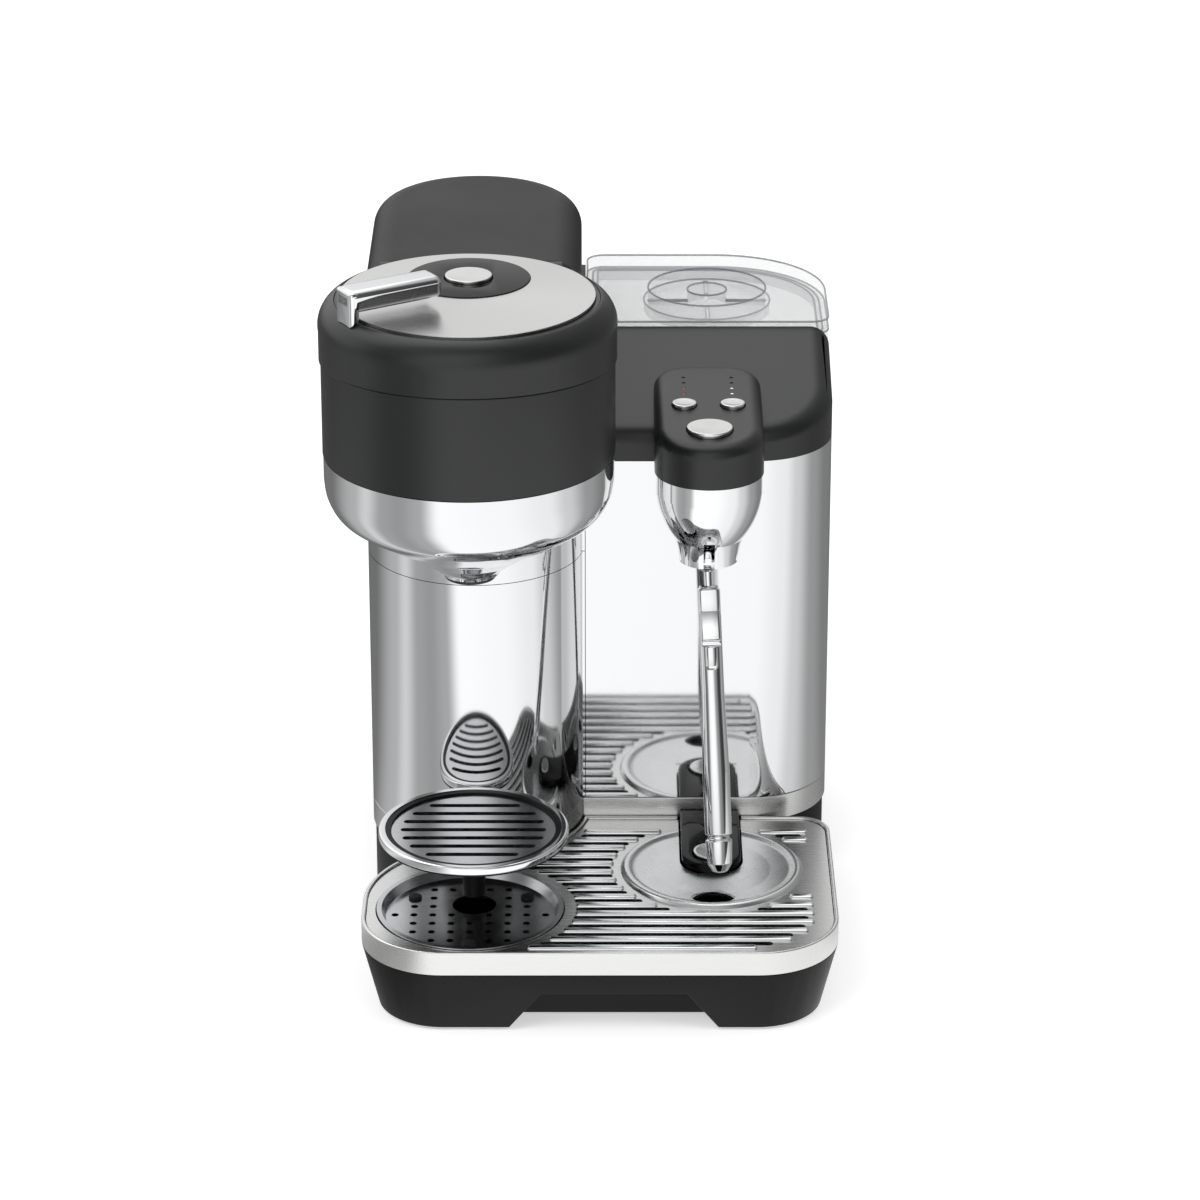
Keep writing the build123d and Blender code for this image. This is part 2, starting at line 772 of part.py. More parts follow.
def platform_bracket():
    """Ledge on the tower that the cup platform hangs on."""
    y1 = tower_y - math.sqrt(tower_r ** 2 - bracket_half ** 2)
    ledge = block(head_x - bracket_half, head_x + bracket_half, head_y + platform_r - pan_slope - 6, y1 + 1.5,
                  lug_z - 9, lug_z - seam)
    return ledge - rod(head_x, tower_y, lug_z - 20, lug_z + 5, tower_r)


def platform_pan():
    """Round pan of the cup platform: rim ring, sloping floor and drain stem."""
    inner = platform_r - platform_rim
    floor_z = platform_z - platform_depth
    points = [(stem_r - 2, stem_z), (stem_r, stem_z), (stem_r, floor_z - 3),
              (platform_r - pan_slope - 8, floor_z), (platform_r - pan_slope, floor_z),
              (platform_r, platform_z - rim_height), (platform_r, platform_z), (inner, platform_z),
              (inner, floor_z + 2.5), (stem_r - 2, floor_z)]
    return turned(head_x, head_y, points)


def platform_grid():
    """Slotted disc that lies in the platform's pan."""
    r = platform_r - platform_rim - seam
    disc = rod(head_x, head_y, lug_z + 2.5 + seam / 3, platform_z - 1, r)
    rows = int((r - 6) / rib_pitch)
    for row in range(-rows, rows + 1):
        half = math.sqrt((r - 4) ** 2 - (row * rib_pitch) ** 2)
        y = head_y + row * rib_pitch
        disc -= slot(head_x - half, head_x + half, y, rib_slot, lug_z, platform_z)
    return disc


def tray_plan(inset):
    """Outline of the drip tray, hollowed at the back left to pass the tower."""
    plan = rounded(tray_left_x + inset, right_x - inset, tray_front_y + inset, panel_y - gap - inset,
                   tray_corner - inset, tray_corner - inset, 14 - inset / 2, 2)
    notch = Pos(head_x, tower_y) * Circle(tower_r + 2 * gap + inset)
    horn_y = panel_y - 25
    sweep_y = horn_y - tray_back_round
    sweep = rounded(tray_left_x - 5, tray_left_x + tray_back_round, sweep_y, panel_y + 10)
    sweep -= Pos(tray_left_x + tray_back_round, sweep_y) * Circle(tray_back_round - inset)
    horn = rounded(tray_left_x - 5, head_x, horn_y - inset, panel_y + 10)
    return plan - notch - sweep - horn


def tongue_passage(z0):
    """Room for the sensor tongue, open to the back so that the tray can slide out."""
    half = tongue_width / 2 + 2 * gap
    plan = rounded(jug_x - half, jug_x + half, pad_y, panel_y + 5) + Pos(jug_x, pad_y) * Circle(half)
    return prism(plan, z0, tray_top_z + 10)


passage_z = tongue_z - 1.5
basin_z = floor_top_z + gap + tray_floor


def tray_body():
    """Black basin with a drawn-in skirt, a finger arch at the front and a channel for the base's tongue."""
    skirt_plan = Pos(0, 0, tray_band_z) * tray_plan(0)
    skirt = extrude(skirt_plan, amount=tray_band_z - tray_skirt_z, dir=(0, 0, -1), taper=tray_taper)
    upper = prism(tray_plan(band_thickness + seam), tray_band_z, rest_z)
    basin = prism(tray_plan(band_thickness + seam + tray_wall), basin_z + 16, rest_z + 1)
    sump_plan = rounded(tongue_x0 - 15, tongue_x1 + 15, tray_front_y + 26, panel_y - 42)
    sump = prism(sump_plan, basin_z, rest_z + 1)
    sump -= rod(head_x, tower_y, basin_z - 1, rest_z + 2, tower_r + 2 * gap + 16)
    channel = block(tongue_x0 - 2 * gap, tongue_x1 + 2 * gap, tongue_front_y - gap, panel_y + 5,
                    0, floor_top_z + gap)
    arch_plan = Plane.XZ * make_face(Polyline((arch_x - arch_bottom / 2, -1), (arch_x + arch_bottom / 2, -1),
                                              (arch_x + arch_top / 2, arch_height),
                                              (arch_x - arch_top / 2, arch_height), close=True))
    arch = extrude(Pos(0, tray_front_y - 1, 0) * arch_plan, amount=arch_depth + 1, dir=(0, 1, 0))
    tower_room = prism(Pos(head_x, tower_y) * Circle(tower_r + 2 * gap), 0, tray_top_z)
    return skirt + upper - basin - sump - channel - arch - tongue_passage(passage_z) - tower_room


arch_depth = 21.0
rest_z = tray_top_z - plate_thickness - 1.0


def tray_band():
    ring = prism(tray_plan(0), tray_band_z, tray_top_z) - prism(tray_plan(band_thickness), 0, tray_top_z + 1)
    return ring - tongue_passage(passage_z)


def row_spans(y):
    """Left and right ends of the open slots in one row of the ribbed plate."""
    margin = 5.0
    left = tower_right_x - 25
    for x, middle_y, reach in ((head_x, tower_y, tower_r + margin + 1), (dish_x, dish_y, dish_r + margin)):
        if abs(y - middle_y) < reach:
            left = max(left, x + math.sqrt(reach ** 2 - (y - middle_y) ** 2))
    corner_y = tray_front_y + tray_corner
    right = right_x - 13
    if y < corner_y:
        right = right_x - tray_corner + math.sqrt((tray_corner - 13) ** 2 - min(22, corner_y - y) ** 2)
    keep_out = jug_r + margin
    if abs(y - jug_y) < keep_out:
        half = math.sqrt(keep_out ** 2 - (y - jug_y) ** 2)
        spans = [(left, jug_x - half), (jug_x + half, right)]
    elif y > jug_y:
        half = tongue_width / 2 + margin
        spans = [(left, jug_x - half), (jug_x + half, right)]
    else:
        spans = [(left, right)]
    return [span for span in spans if span[1] - span[0] > 3 * rib_slot]


def dish_hole(grow):
    return Pos(dish_x, dish_y) * Circle(dish_r + grow)


def ribbed_plate():
    """Stainless plate with slots between its ribs and a raised ring for the jug."""
    plan = tray_plan(band_thickness + seam) - dish_hole(seam)
    plate = prism(plan, rest_z, rest_z + plate_thickness)
    first_y = tray_front_y + rib_front
    rows = int((panel_y - 12 - first_y) / rib_pitch) + 1
    for row in range(rows):
        y = first_y + row * rib_pitch
        for x0, x1 in row_spans(y):
            plate -= slot(x0, x1, y, rib_slot, rest_z - 1, tray_top_z + 1)
    top = rest_z + plate_thickness
    ring = turned(jug_x, jug_y, [(jug_r - 3, top - 0.1), (jug_r, top - 0.1), (jug_r - 0.8, top + 1.2),
                                 (jug_r - 2.2, top + 1.2)])
    drain_y = jug_y - jug_r + 4
    drain = rod(jug_x, drain_y + 2, rest_z - 1, top + 1, drain_r)
    drain &= block(jug_x - drain_r, jug_x + drain_r, drain_y, drain_y + 2 * drain_r, rest_z - 1, top + 1)
    return plate + ring - drain - tongue_passage(passage_z)


def cup_grid():
    """Round recessed dish with drain holes and a keyhole under the platform's stem."""
    top = rest_z + plate_thickness + 0.8
    wall = 1.2
    rim_r = dish_r - 0.2
    points = [(0, dish_floor_z), (dish_r - 3, dish_floor_z), (rim_r, rest_z + 0.4), (rim_r, top),
              (dish_r - 2.4, top), (dish_r - 3 - wall, dish_floor_z + wall), (0, dish_floor_z + wall)]
    dish = turned(dish_x, dish_y, points)
    for column in range(-4, 5):
        for row in range(-4, 5):
            x = column * hole_pitch
            y = row * hole_pitch
            inside = math.hypot(x, y) < dish_r - 8
            clear = math.hypot(x, dish_y + y - head_y) > keyhole_r + 3
            if inside and clear:
                dish -= rod(dish_x + x, dish_y + y, dish_floor_z - 1, dish_floor_z + wall + 1, hole_r)
    return dish - rod(head_x, head_y, dish_floor_z - 1, dish_floor_z + wall + 1, keyhole_r)


lid_wall = 3.0
lid_plate = 7.0
shoulder_z = lid_top_z - 13
groove_depth = 4.0
recess_depth = 2.0
control_y = head_y + control_offset


def lid_blank(grow=0.0):
    """Outside of the lid, with its rounded black shoulder; grow adds to it all round."""
    low = lid_seam_z - 2 * lid_seam_rise
    side = head_r + lid_overhang + grow
    top = lid_top_z + grow
    rim = groove_r + 0.3 + grow
    middle = (side - 0.28 * (side - rim), shoulder_z + 0.68 * (top - shoulder_z))
    edges = [Line((0, low), (side, low)), Line((side, low), (side, shoulder_z)),
             ThreePointArc((side, shoulder_z), middle, (rim, top)),
             Line((rim, top), (0, top)), Line((0, top), (0, low))]
    face = Plane.XZ * make_face(edges)
    return Pos(head_x, head_y, 0) * revolve(face, Axis.Z)


def lid_shell():
    """Black lid with a groove for the lock ring, a seat for the disc and two hinge ears."""
    lid = lid_blank() - rod(head_x, head_y, 0, lid_top_z - lid_plate, head_r - lid_wall)
    lid -= tube(head_x, head_y, lid_top_z - groove_depth, lid_top_z + 1, groove_r, disc_r)
    lid -= rod(head_x, head_y, lid_top_z - recess_depth, lid_top_z + 1, disc_r + 0.01)
    lid -= rod(head_x, control_y, lid_top_z - lid_plate + 1, lid_top_z, brew_button_r + gap)
    for side in (-1, 1):
        x = head_x + side * ear_offset
        half = hinge_width / 2
        ear = block(x - half, x + half, hinge_y - 14, hinge_y, hinge_z - 5, hinge_z + 5)
        ear += cross_rod(x - half, x + half, hinge_y, hinge_z, 5)
        lid += ear
        lid -= cross_rod(x - half - 1, x + half + 1, hinge_y, hinge_z, pin_r + pin_fit)
    return lid - seam_cutter(False, gap)


disc_z = lid_top_z - recess_depth
disc_top_z = disc_z + 3.2


def lid_disc():
    """Brushed steel disc, cut out for the control disc."""
    disc = rod(head_x, head_y, disc_z, disc_top_z, disc_r)
    return disc - rod(head_x, control_y, disc_z - 1, disc_top_z + 1, control_r + seam / 2)


def control_disc():
    return tube(head_x, control_y, disc_z, disc_top_z + 0.4, control_r, brew_button_r + gap)


def brew_button():
    z0 = lid_top_z - lid_plate + 1 + button_travel + seam
    return rod(head_x, control_y, z0, disc_top_z + 2.2, brew_button_r)


ring_top_z = lid_top_z - 0.2


def lock_ring():
    """Ring in the lid's groove that the lever turns."""
    return tube(head_x, head_y, lid_top_z - groove_depth + seam, ring_top_z, groove_r - seam, disc_r + seam)


lever_z = disc_top_z + 2.0
tab_thickness = 4.5
tab_drop = 19.5
web_half = 4.5


def lever():
    """Chrome bar over the disc, turned down into a finger tab, with a web down to the lock ring."""
    dx = lever_to[0] - lever_from[0]
    dy = lever_to[1] - lever_from[1]
    length = math.hypot(dx, dy)
    place = Pos(head_x + lever_from[0], head_y + lever_from[1]) * Rot(0, 0, math.degrees(math.atan2(dy, dx)))
    top_z = lever_z + lever_height
    half = lever_width / 2
    end = length + tab_thickness / 2
    body = block(0, end, -half, half, lever_z, top_z) + rod(0, 0, lever_z, top_z, half)
    tab = block(end - tab_thickness, end, -half, half, top_z - tab_drop, top_z)
    web = tube(head_x, head_y, ring_top_z, lever_z, groove_r - seam, disc_r + seam)
    web &= place * block(0, end, -web_half, web_half, ring_top_z, lever_z)
    return place * body + (place * tab - lid_blank(2 * gap)) + web


clamp_r = 28.0
clamp_bottom_z = deck_z + 2


def capsule_clamp():
    """Dome under the lid that presses on the capsule and feeds the water in."""
    top = lid_top_z - lid_plate
    points = [(0, top), (12, top), (12, top - 17), (clamp_r, top - 25), (clamp_r, clamp_bottom_z + 6),
              (clamp_r - 8, clamp_bottom_z), (0, clamp_bottom_z)]
    return turned(head_x, head_y, points)


def clamp_seal():
    return tube(head_x, head_y, clamp_bottom_z + 8, clamp_bottom_z + 13, clamp_r + 2, clamp_r)


def container_blank(inset):
    """Upper part of the capsule container: straight sides, a round back and a rounded top edge."""
    r = container_r - inset
    plan = rounded(head_x - r, head_x + r, container_front_y + inset, container_y, 8 - inset, 8 - inset)
    plan += Pos(head_x, container_y) * Circle(r)
    blank = prism(plan, band_z + seam, container_top_z - inset)
    top = blank.faces().sort_by(Axis.Z)[-1]
    return fillet(top.edges(), container_round - inset)


def capsule_container():
    """Lift-out bin for used capsules, with a mouth towards the brew head."""
    fit = 2 * gap
    w = container_wall
    x0, x1 = bay_x0 + bay_wall + fit, bay_x1 - bay_wall - fit
    y0, y1 = bay_front_y + bay_wall + fit, bay_back_y - bay_wall - fit
    z0 = bay_floor_z + bay_wall + fit
    upper = container_blank(0)
    lower = block(x0, x1, y0, y1, z0, band_z + seam)
    hollow = container_blank(w)
    hollow &= block(x0 + w, x1 - w, container_front_y, back_y, band_z + 3, container_top_z)
    hollow += block(x0 + w, x1 - w, y0 + w, y1 - w, z0 + w, band_z + 4)
    mouth_z = band_z + 12
    mouth = block(head_x - mouth_width / 2, head_x + mouth_width / 2, container_front_y - 1,
                  container_front_y + 3 * w, mouth_z, mouth_z + mouth_height)
    return upper + lower - hollow - mouth


tank_rim_z = tank_top_z - tank_lid_height


def tank_plan(inset):
    small = 8.0
    return rounded(tank_left_x + inset, right_x - inset, tank_front_y + seam + inset, back_y - inset,
                   small - inset, small - inset, back_corner - inset, small - inset)


def tank_shell():
    """Clear tank, open at the top, with an outlet spigot in its floor."""
    shell = prism(tank_plan(0), tank_z, tank_rim_z)
    shell -= prism(tank_plan(tank_wall), tank_z + tank_wall, tank_top_z)
    shell += rod(outlet_x, outlet_y, seat_z + 1, tank_z + 1, outlet_r - 2.5 - seam)
    return shell - rod(outlet_x, outlet_y, seat_z, tank_z + tank_wall + 1, 3)


def tank_lid():
    """Clear lid with a round finger recess and a knob standing in it."""
    plate = prism(tank_plan(0), tank_rim_z + seam / 3, tank_top_z)
    skirt = prism(tank_plan(tank_wall + gap), tank_rim_z - 5, tank_rim_z + 1)
    skirt -= prism(tank_plan(2 * tank_wall + gap), tank_rim_z - 6, tank_rim_z + 0.5)
    recess_z = tank_rim_z - 3
    lid = plate + skirt - rod(recess_x, recess_y, recess_z, tank_top_z + 1, recess_r)
    lid += tube(recess_x, recess_y, recess_z - 2, tank_top_z, recess_r + 2, recess_r)
    lid += rod(recess_x, recess_y, recess_z - 2, recess_z, recess_r + 1)
    knob = rod(recess_x, recess_y, recess_z - 1, tank_top_z - 1, knob_r)
    for turn in (0, 90):
        knob += Pos(recess_x, recess_y, recess_z + 1) * Rot(0, 0, turn) * Box(2 * recess_r, 1.6, 3)
    return lid + knob


pump_r = 15.0
pump_x0 = 16.0
pump_x1 = 84.0
pump_y = 26.0
mount_height = 6.0
pump_z = floor_top_z + mount_height + pump_r
hose_r = 4.0
works_back_y = wall_y0 - 2


def pump():
    """Vibration pump: coil block on a barrel with a nozzle at each end."""
    barrel = cross_rod(pump_x0, pump_x1, pump_y, pump_z, pump_r - 4)
    coil = block(pump_x0 + 16, pump_x1 - 16, pump_y - pump_r, pump_y + pump_r,
                 pump_z - pump_r, pump_z + pump_r)
    nozzle = cross_rod(pump_x1, pump_x1 + 10, pump_y, pump_z, hose_r)
    return barrel + coil + nozzle


def pump_mounts():
    mounts = []
    for x in (pump_x0 + 24, pump_x1 - 24):
        mounts.append(block(x - 6, x + 6, pump_y - pump_r, pump_y + pump_r,
                            floor_top_z, floor_top_z + mount_height))
    return mounts


heater_x0 = 12.0
heater_x1 = 58.0
heater_z0 = 90.0
heater_z1 = 160.0


def thermoblock():
    """Cast water heater with fins, fixed to the rear wall."""
    heater = block(heater_x0, heater_x1, works_back_y - 24, works_back_y, heater_z0, heater_z1)
    for fin in range(5):
        z = heater_z0 + 10 + 12 * fin
        heater += block(heater_x0 + 4, heater_x1 - 4, works_back_y - 29, works_back_y - 23, z, z + 3)
    return heater


boiler_x = 84.0
boiler_r = 18.0
boiler_z0 = 80.0
boiler_z1 = 165.0


def steam_boiler():
    tank = rod(boiler_x, works_back_y - boiler_r - 4, boiler_z0, boiler_z1, boiler_r)
    flange = block(boiler_x - 14, boiler_x + 14, works_back_y - 14, works_back_y,
                   boiler_z0 + 20, boiler_z1 - 20)
    return tank + flange


valve_half = 12.0
valve_height = 14.0
coil_height = 18.0
coil_r = 8.0


def solenoid_valve():
    """Valve on top of the water heater."""
    x = (heater_x0 + heater_x1) / 2 - valve_half
    y = works_back_y - valve_half
    top = heater_z1 + valve_height
    body = block(x - valve_half, x + valve_half, y - valve_half + 2, y + valve_half - 2, heater_z1, top)
    return body + rod(x, y, top, top + coil_height, coil_r)


board_half = 30.0
board_top_z = 180.0
part_depth = 18.0


def main_board():
    """Power and control board, standing on the floor of the rear cover."""
    y = tower_back_y + 12
    face = y + board_thickness
    board = block(head_x - board_half, head_x + board_half, y, face, floor_top_z, board_top_z)
    board += block(head_x - board_half + 10, head_x + 10, face, face + part_depth,
                   band_top_z + 10, band_top_z + 40)
    for side in (-1, 1):
        part = Pos(head_x + side * 18, face + part_depth / 2, board_top_z - 50) * Rot(90, 0, 0)
        board += part * Cylinder(8, part_depth)
    return board


def bent_pipe(points, r, bend):
    """A round pipe along straight runs joined by bends."""
    path = FilletPolyline(*points, radius=bend)
    start = Vector(*points[0])
    along = Vector(*points[1]) - start
    return sweep(Plane(origin=start, z_dir=along) * Circle(r), path=path)


hose_z = 40.0


def hose_passage():
    return Pos(outlet_x, wall_y0, hose_z) * Rot(90, 0, 0) * Cylinder(hose_r + seam, 20)


def water_hose():
    """Hose from the tank's seat down and forward to the works."""
    points = [(outlet_x, outlet_y, seat_z), (outlet_x, outlet_y, hose_z), (outlet_x, wall_y0 - 8, hose_z)]
    return bent_pipe(points, hose_r, 10)


pipe_r = 2.5
pipe_z = hood_z + 6


def steam_pipe():
    """Pipe from the steam boiler up into the hood and forward towards the wand."""
    y = works_back_y - boiler_r - 4
    points = [(boiler_x, y, boiler_z1), (boiler_x, y, pipe_z), (pod_x, y - 10, pipe_z),
              (pod_x, panel_y + hood_wall + seam, pipe_z)]
    return bent_pipe(points, pipe_r, 8)


PARTS = {
    "base_frame": base_frame, "foot_pads": foot_pads, "base_screws": base_screws, "base_band": base_band,
    "mains_inlet": mains_inlet, "body_panel": body_panel, "hood": hood,
    "rear_wall": lambda: rear_wall() - hose_passage(), "rear_cover": rear_cover,
    "tower_lower": tower_lower, "tower_upper": tower_upper, "container_bay": container_bay,
    "tank_seat": tank_seat, "tank_seal": tank_seal, "brew_housing": brew_housing, "hinge_pins": hinge_pins,
    "brew_bowl": brew_bowl, "spout_insert": spout_insert, "holder_bearing": holder_bearing,
    "capsule_holder": capsule_holder, "brew_motor": brew_motor, "motor_pulley": motor_pulley,
    "drive_belt": drive_belt, "pod_shell": pod_shell, "pod_lamps": pod_lamps, "pod_board": pod_board,
    "steam_cone": steam_cone, "sensor_tongue": sensor_tongue, "sensor_pad": sensor_pad,
    "platform_bracket": platform_bracket, "pump": pump, "pump_mounts": pump_mounts,
    "thermoblock": thermoblock, "steam_boiler": steam_boiler, "solenoid_valve": solenoid_valve,
    "main_board": main_board, "water_hose": water_hose, "steam_pipe": steam_pipe,
    "tray_body": tray_body, "tray_band": tray_band, "ribbed_plate": ribbed_plate, "cup_grid": cup_grid,
    "platform_pan": platform_pan, "platform_grid": platform_grid,
    "lid_shell": lid_shell, "lid_disc": lid_disc, "control_disc": control_disc, "brew_button": brew_button,
    "capsule_clamp": capsule_clamp, "clamp_seal": clamp_seal, "lock_ring": lock_ring, "lever": lever,
    "wand_tube": wand_tube, "wand_tip": wand_tip,
    "steam_button": lambda: pod_button(2), "milk_temp_button": lambda: pod_button(0),
    "foam_button": lambda: pod_button(1), "tank_shell": tank_shell,
    "tank_lid": tank_lid, "capsule_container": capsule_container,
}

os.makedirs("parts", exist_ok=True)
for name, make in PARTS.items():
    shape = make()
    if isinstance(shape, list):
        shape = Compound(shape)
    export_step(shape, f"parts/{name}.step")
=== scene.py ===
# %% [markdown]
# # A pod coffee machine, dressed for a studio picture
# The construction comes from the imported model, in metres, with the front towards -Y.
# This lesson keeps the pieces whose shape is already right, models the ones that need softer or finer
# forms, gives each surface its own finish, and sets a camera, lamps and a pale floor.

# %% Load the frame
import json
import math
import bpy
from mathutils import Matrix, Vector


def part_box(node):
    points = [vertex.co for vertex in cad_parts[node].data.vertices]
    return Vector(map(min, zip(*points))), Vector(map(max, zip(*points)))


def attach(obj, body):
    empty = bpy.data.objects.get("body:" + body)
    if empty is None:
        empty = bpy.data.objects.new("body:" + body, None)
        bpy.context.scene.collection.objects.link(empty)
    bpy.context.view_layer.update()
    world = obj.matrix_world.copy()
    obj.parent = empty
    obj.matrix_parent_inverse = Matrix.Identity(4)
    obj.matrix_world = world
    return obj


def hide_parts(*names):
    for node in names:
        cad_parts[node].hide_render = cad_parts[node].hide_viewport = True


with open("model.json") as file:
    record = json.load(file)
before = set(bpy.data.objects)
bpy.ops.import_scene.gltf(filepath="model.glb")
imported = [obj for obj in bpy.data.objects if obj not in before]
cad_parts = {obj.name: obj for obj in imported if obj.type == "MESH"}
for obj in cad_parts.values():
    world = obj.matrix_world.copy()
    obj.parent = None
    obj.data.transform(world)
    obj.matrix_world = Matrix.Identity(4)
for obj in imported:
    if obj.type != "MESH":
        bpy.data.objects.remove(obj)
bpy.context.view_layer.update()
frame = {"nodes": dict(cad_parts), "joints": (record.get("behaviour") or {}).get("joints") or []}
node = frame["nodes"]
mm = 0.001

# %% [markdown]
# ## Materials
# Every finish is a Principled shader with a few texture nodes in front of it. Colours are written as hex
# values, the way a paint card gives them, and one function turns them to the linear values that Blender
# works in. One small function adds a node, sets it up and links it, so each material reads as a short list.

# %% Helpers for materials
def linear(colour):
    """An sRGB hex colour as linear red, green, blue, alpha."""
    parts = [int(colour[i:i + 2], 16) / 255 for i in (1, 3, 5)]
    return [p / 12.92 if p <= 0.04045 else ((p + 0.055) / 1.055) ** 2.4 for p in parts] + [1.0]


def add(material, kind, settings=None, **links):
    """Add a node with its settings, and link named inputs to (node, output) pairs."""
    tree = material.node_tree
    made = tree.nodes.new(kind)
    for name, value in (settings or {}).items():
        if name in made.inputs.keys():
            made.inputs[name].default_value = value
        else:
            setattr(made, name, value)
    for name, (source, output) in links.items():
        tree.links.new(source.outputs[output], made.inputs[name.replace("_", " ")])
    return made


def surface(name, colour, roughness, metallic=0.0, **more):
    """A material with its Principled shader; more holds extra socket values, with _ for a space."""
    material = bpy.data.materials.new(name)
    material.use_nodes = True
    shader = material.node_tree.nodes["Principled BSDF"]
    shader.inputs["Base Color"].default_value = linear(colour)
    shader.inputs["Roughness"].default_value = roughness
    shader.inputs["Metallic"].default_value = metallic
    for key, value in more.items():
        shader.inputs[key.replace("_", " ")].default_value = value
    return material, shader


def plug(material, source, output, shader, socket):
    material.node_tree.links.new(source.outputs[output], shader.inputs[socket])


def per_metre(size_mm):
    """Texture scale whose features are about this many millimetres apart."""
    return 1.0 / (size_mm * mm)


# %% [markdown]
# ### Moulded plastics
# The lid, band, hood, pod and container are moulded ABS with a fine spark-eroded texture, which breaks
# highlights into a soft satin sheen. The chassis has a coarser texture. Noise drives a shallow bump, and a
# second, broad noise varies the roughness a little, as handling does.

# %% Plastics
def moulded(name, colour, roughness, grain_mm, depth_mm, shine=0.5):
    material, shader = surface(name, colour, roughness, IOR=1.5, Specular_IOR_Level=shine)
    place = add(material, "ShaderNodeTexCoord")
    grain = add(material, "ShaderNodeTexNoise", {"Scale": per_metre(grain_mm), "Detail": 2.0},
                Vector=(place, "Object"))
    patch = add(material, "ShaderNodeTexNoise", {"Scale": per_metre(45.0), "Detail": 3.0},
                Vector=(place, "Object"))
    spread = add(material, "ShaderNodeMapRange", {"To Min": roughness - 0.04, "To Max": roughness + 0.05},
                 Value=(patch, "Fac"))
    bump = add(material, "ShaderNodeBump", {"Strength": 0.35, "Distance": depth_mm * mm},
               Height=(grain, "Fac"))
    plug(material, spread, "Result", shader, "Roughness")
    plug(material, bump, "Normal", shader, "Normal")
    return material


satin_abs = moulded("satin_moulded_abs", "#1b1c1d", 0.34, 0.7, 0.02, 0.5)
matt_abs = moulded("matt_moulded_abs", "#0e0f10", 0.4, 0.7, 0.02, 0.18)
chassis_abs = moulded("textured_moulded_abs", "#0c0d0d", 0.42, 1.1, 0.04, 0.2)
black_rubber = moulded("moulded_rubber", "#0d0d0e", 0.7, 1.4, 0.05)
white_nylon = moulded("moulded_white_nylon", "#d6d6d1", 0.45, 1.0, 0.03)
board_laminate = moulded("green_board_laminate", "#1f4c35", 0.5, 1.2, 0.03)

gloss_black, gloss_shader = surface("gloss_black_acrylic", "#050506", 0.07, IOR=1.22)
place = add(gloss_black, "ShaderNodeTexCoord")
smear = add(gloss_black, "ShaderNodeTexNoise", {"Scale": per_metre(25.0), "Detail": 4.0},
            Vector=(place, "Object"))
smear_range = add(gloss_black, "ShaderNodeMapRange", {"To Min": 0.05, "To Max": 0.12}, Value=(smear, "Fac"))
plug(gloss_black, smear_range, "Result", gloss_shader, "Roughness")

# %% [markdown]
# ### Metals
# Mirror-polished stainless shows its surroundings with only a faint waviness. Brushed stainless carries fine
# parallel scratches, drawn by stretching a noise along the brushing. On the lid the brushing runs round, as
# a lathe leaves it, so there the noise depends on the radius alone. Chrome is the brightest and smoothest,
# and cast aluminium is dull and grainy.

# %% Metals
def polished(name, colour, roughness, wave_mm, wave_depth_mm):
    material, shader = surface(name, colour, roughness, metallic=1.0)
    place = add(material, "ShaderNodeTexCoord")
    wave = add(material, "ShaderNodeTexNoise", {"Scale": per_metre(wave_mm), "Detail": 1.0},
               Vector=(place, "Object"))
    haze = add(material, "ShaderNodeTexNoise", {"Scale": per_metre(12.0), "Detail": 5.0},
               Vector=(place, "Object"))
    spread = add(material, "ShaderNodeMapRange", {"To Min": roughness * 0.7, "To Max": roughness * 1.5},
                 Value=(haze, "Fac"))
    bump = add(material, "ShaderNodeBump", {"Strength": 0.2, "Distance": wave_depth_mm * mm},
               Height=(wave, "Fac"))
    plug(material, spread, "Result", shader, "Roughness")
    plug(material, bump, "Normal", shader, "Normal")
    return material


def brushed(name, colour, roughness, stretch, scratch_mm=0.5):
    """Brushed metal; stretch gives how much finer the scratches are along X, Y and Z."""
    material, shader = surface(name, colour, roughness, metallic=1.0)
    place = add(material, "ShaderNodeTexCoord")
    turn = add(material, "ShaderNodeMapping", {"Scale": stretch}, Vector=(place, "Object"))
    scratch = add(material, "ShaderNodeTexNoise", {"Scale": per_metre(scratch_mm), "Detail": 3.0},
                  Vector=(turn, "Vector"))
    spread = add(material, "ShaderNodeMapRange", {"To Min": roughness - 0.07, "To Max": roughness + 0.1},
                 Value=(scratch, "Fac"))
    bump = add(material, "ShaderNodeBump", {"Strength": 0.15, "Distance": 0.02 * mm}, Height=(scratch, "Fac"))
    plug(material, spread, "Result", shader, "Roughness")
    plug(material, bump, "Normal", shader, "Normal")
    return material


def spun(name, colour, roughness, centre, ring_mm=0.35):
    """Metal turned on a lathe: fine rings round an upright line through centre, and a fan of light."""
    material, shader = surface(name, colour, roughness, metallic=1.0, Anisotropic=0.75)
    place = add(material, "ShaderNodeTexCoord")
    move = add(material, "ShaderNodeMapping", {"Location": (-centre[0], -centre[1], 0), "Scale": (1, 1, 0)},
               Vector=(place, "Object"))
    radius = add(material, "ShaderNodeVectorMath", {"operation": "LENGTH"}, Vector=(move, "Vector"))
    rings = add(material, "ShaderNodeTexNoise", {"noise_dimensions": "1D", "Scale": per_metre(ring_mm),
                                                 "Detail": 3.0}, W=(radius, "Value"))
    spread = add(material, "ShaderNodeMapRange", {"To Min": roughness - 0.05, "To Max": roughness + 0.06},
                 Value=(rings, "Fac"))
    bump = add(material, "ShaderNodeBump", {"Strength": 0.06, "Distance": 0.02 * mm}, Height=(rings, "Fac"))
    tangent = add(material, "ShaderNodeTangent", {"direction_type": "RADIAL", "axis": "Z"})
    plug(material, spread, "Result", shader, "Roughness")
    plug(material, bump, "Normal", shader, "Normal")
    plug(material, tangent, "Tangent", shader, "Tangent")
    return material


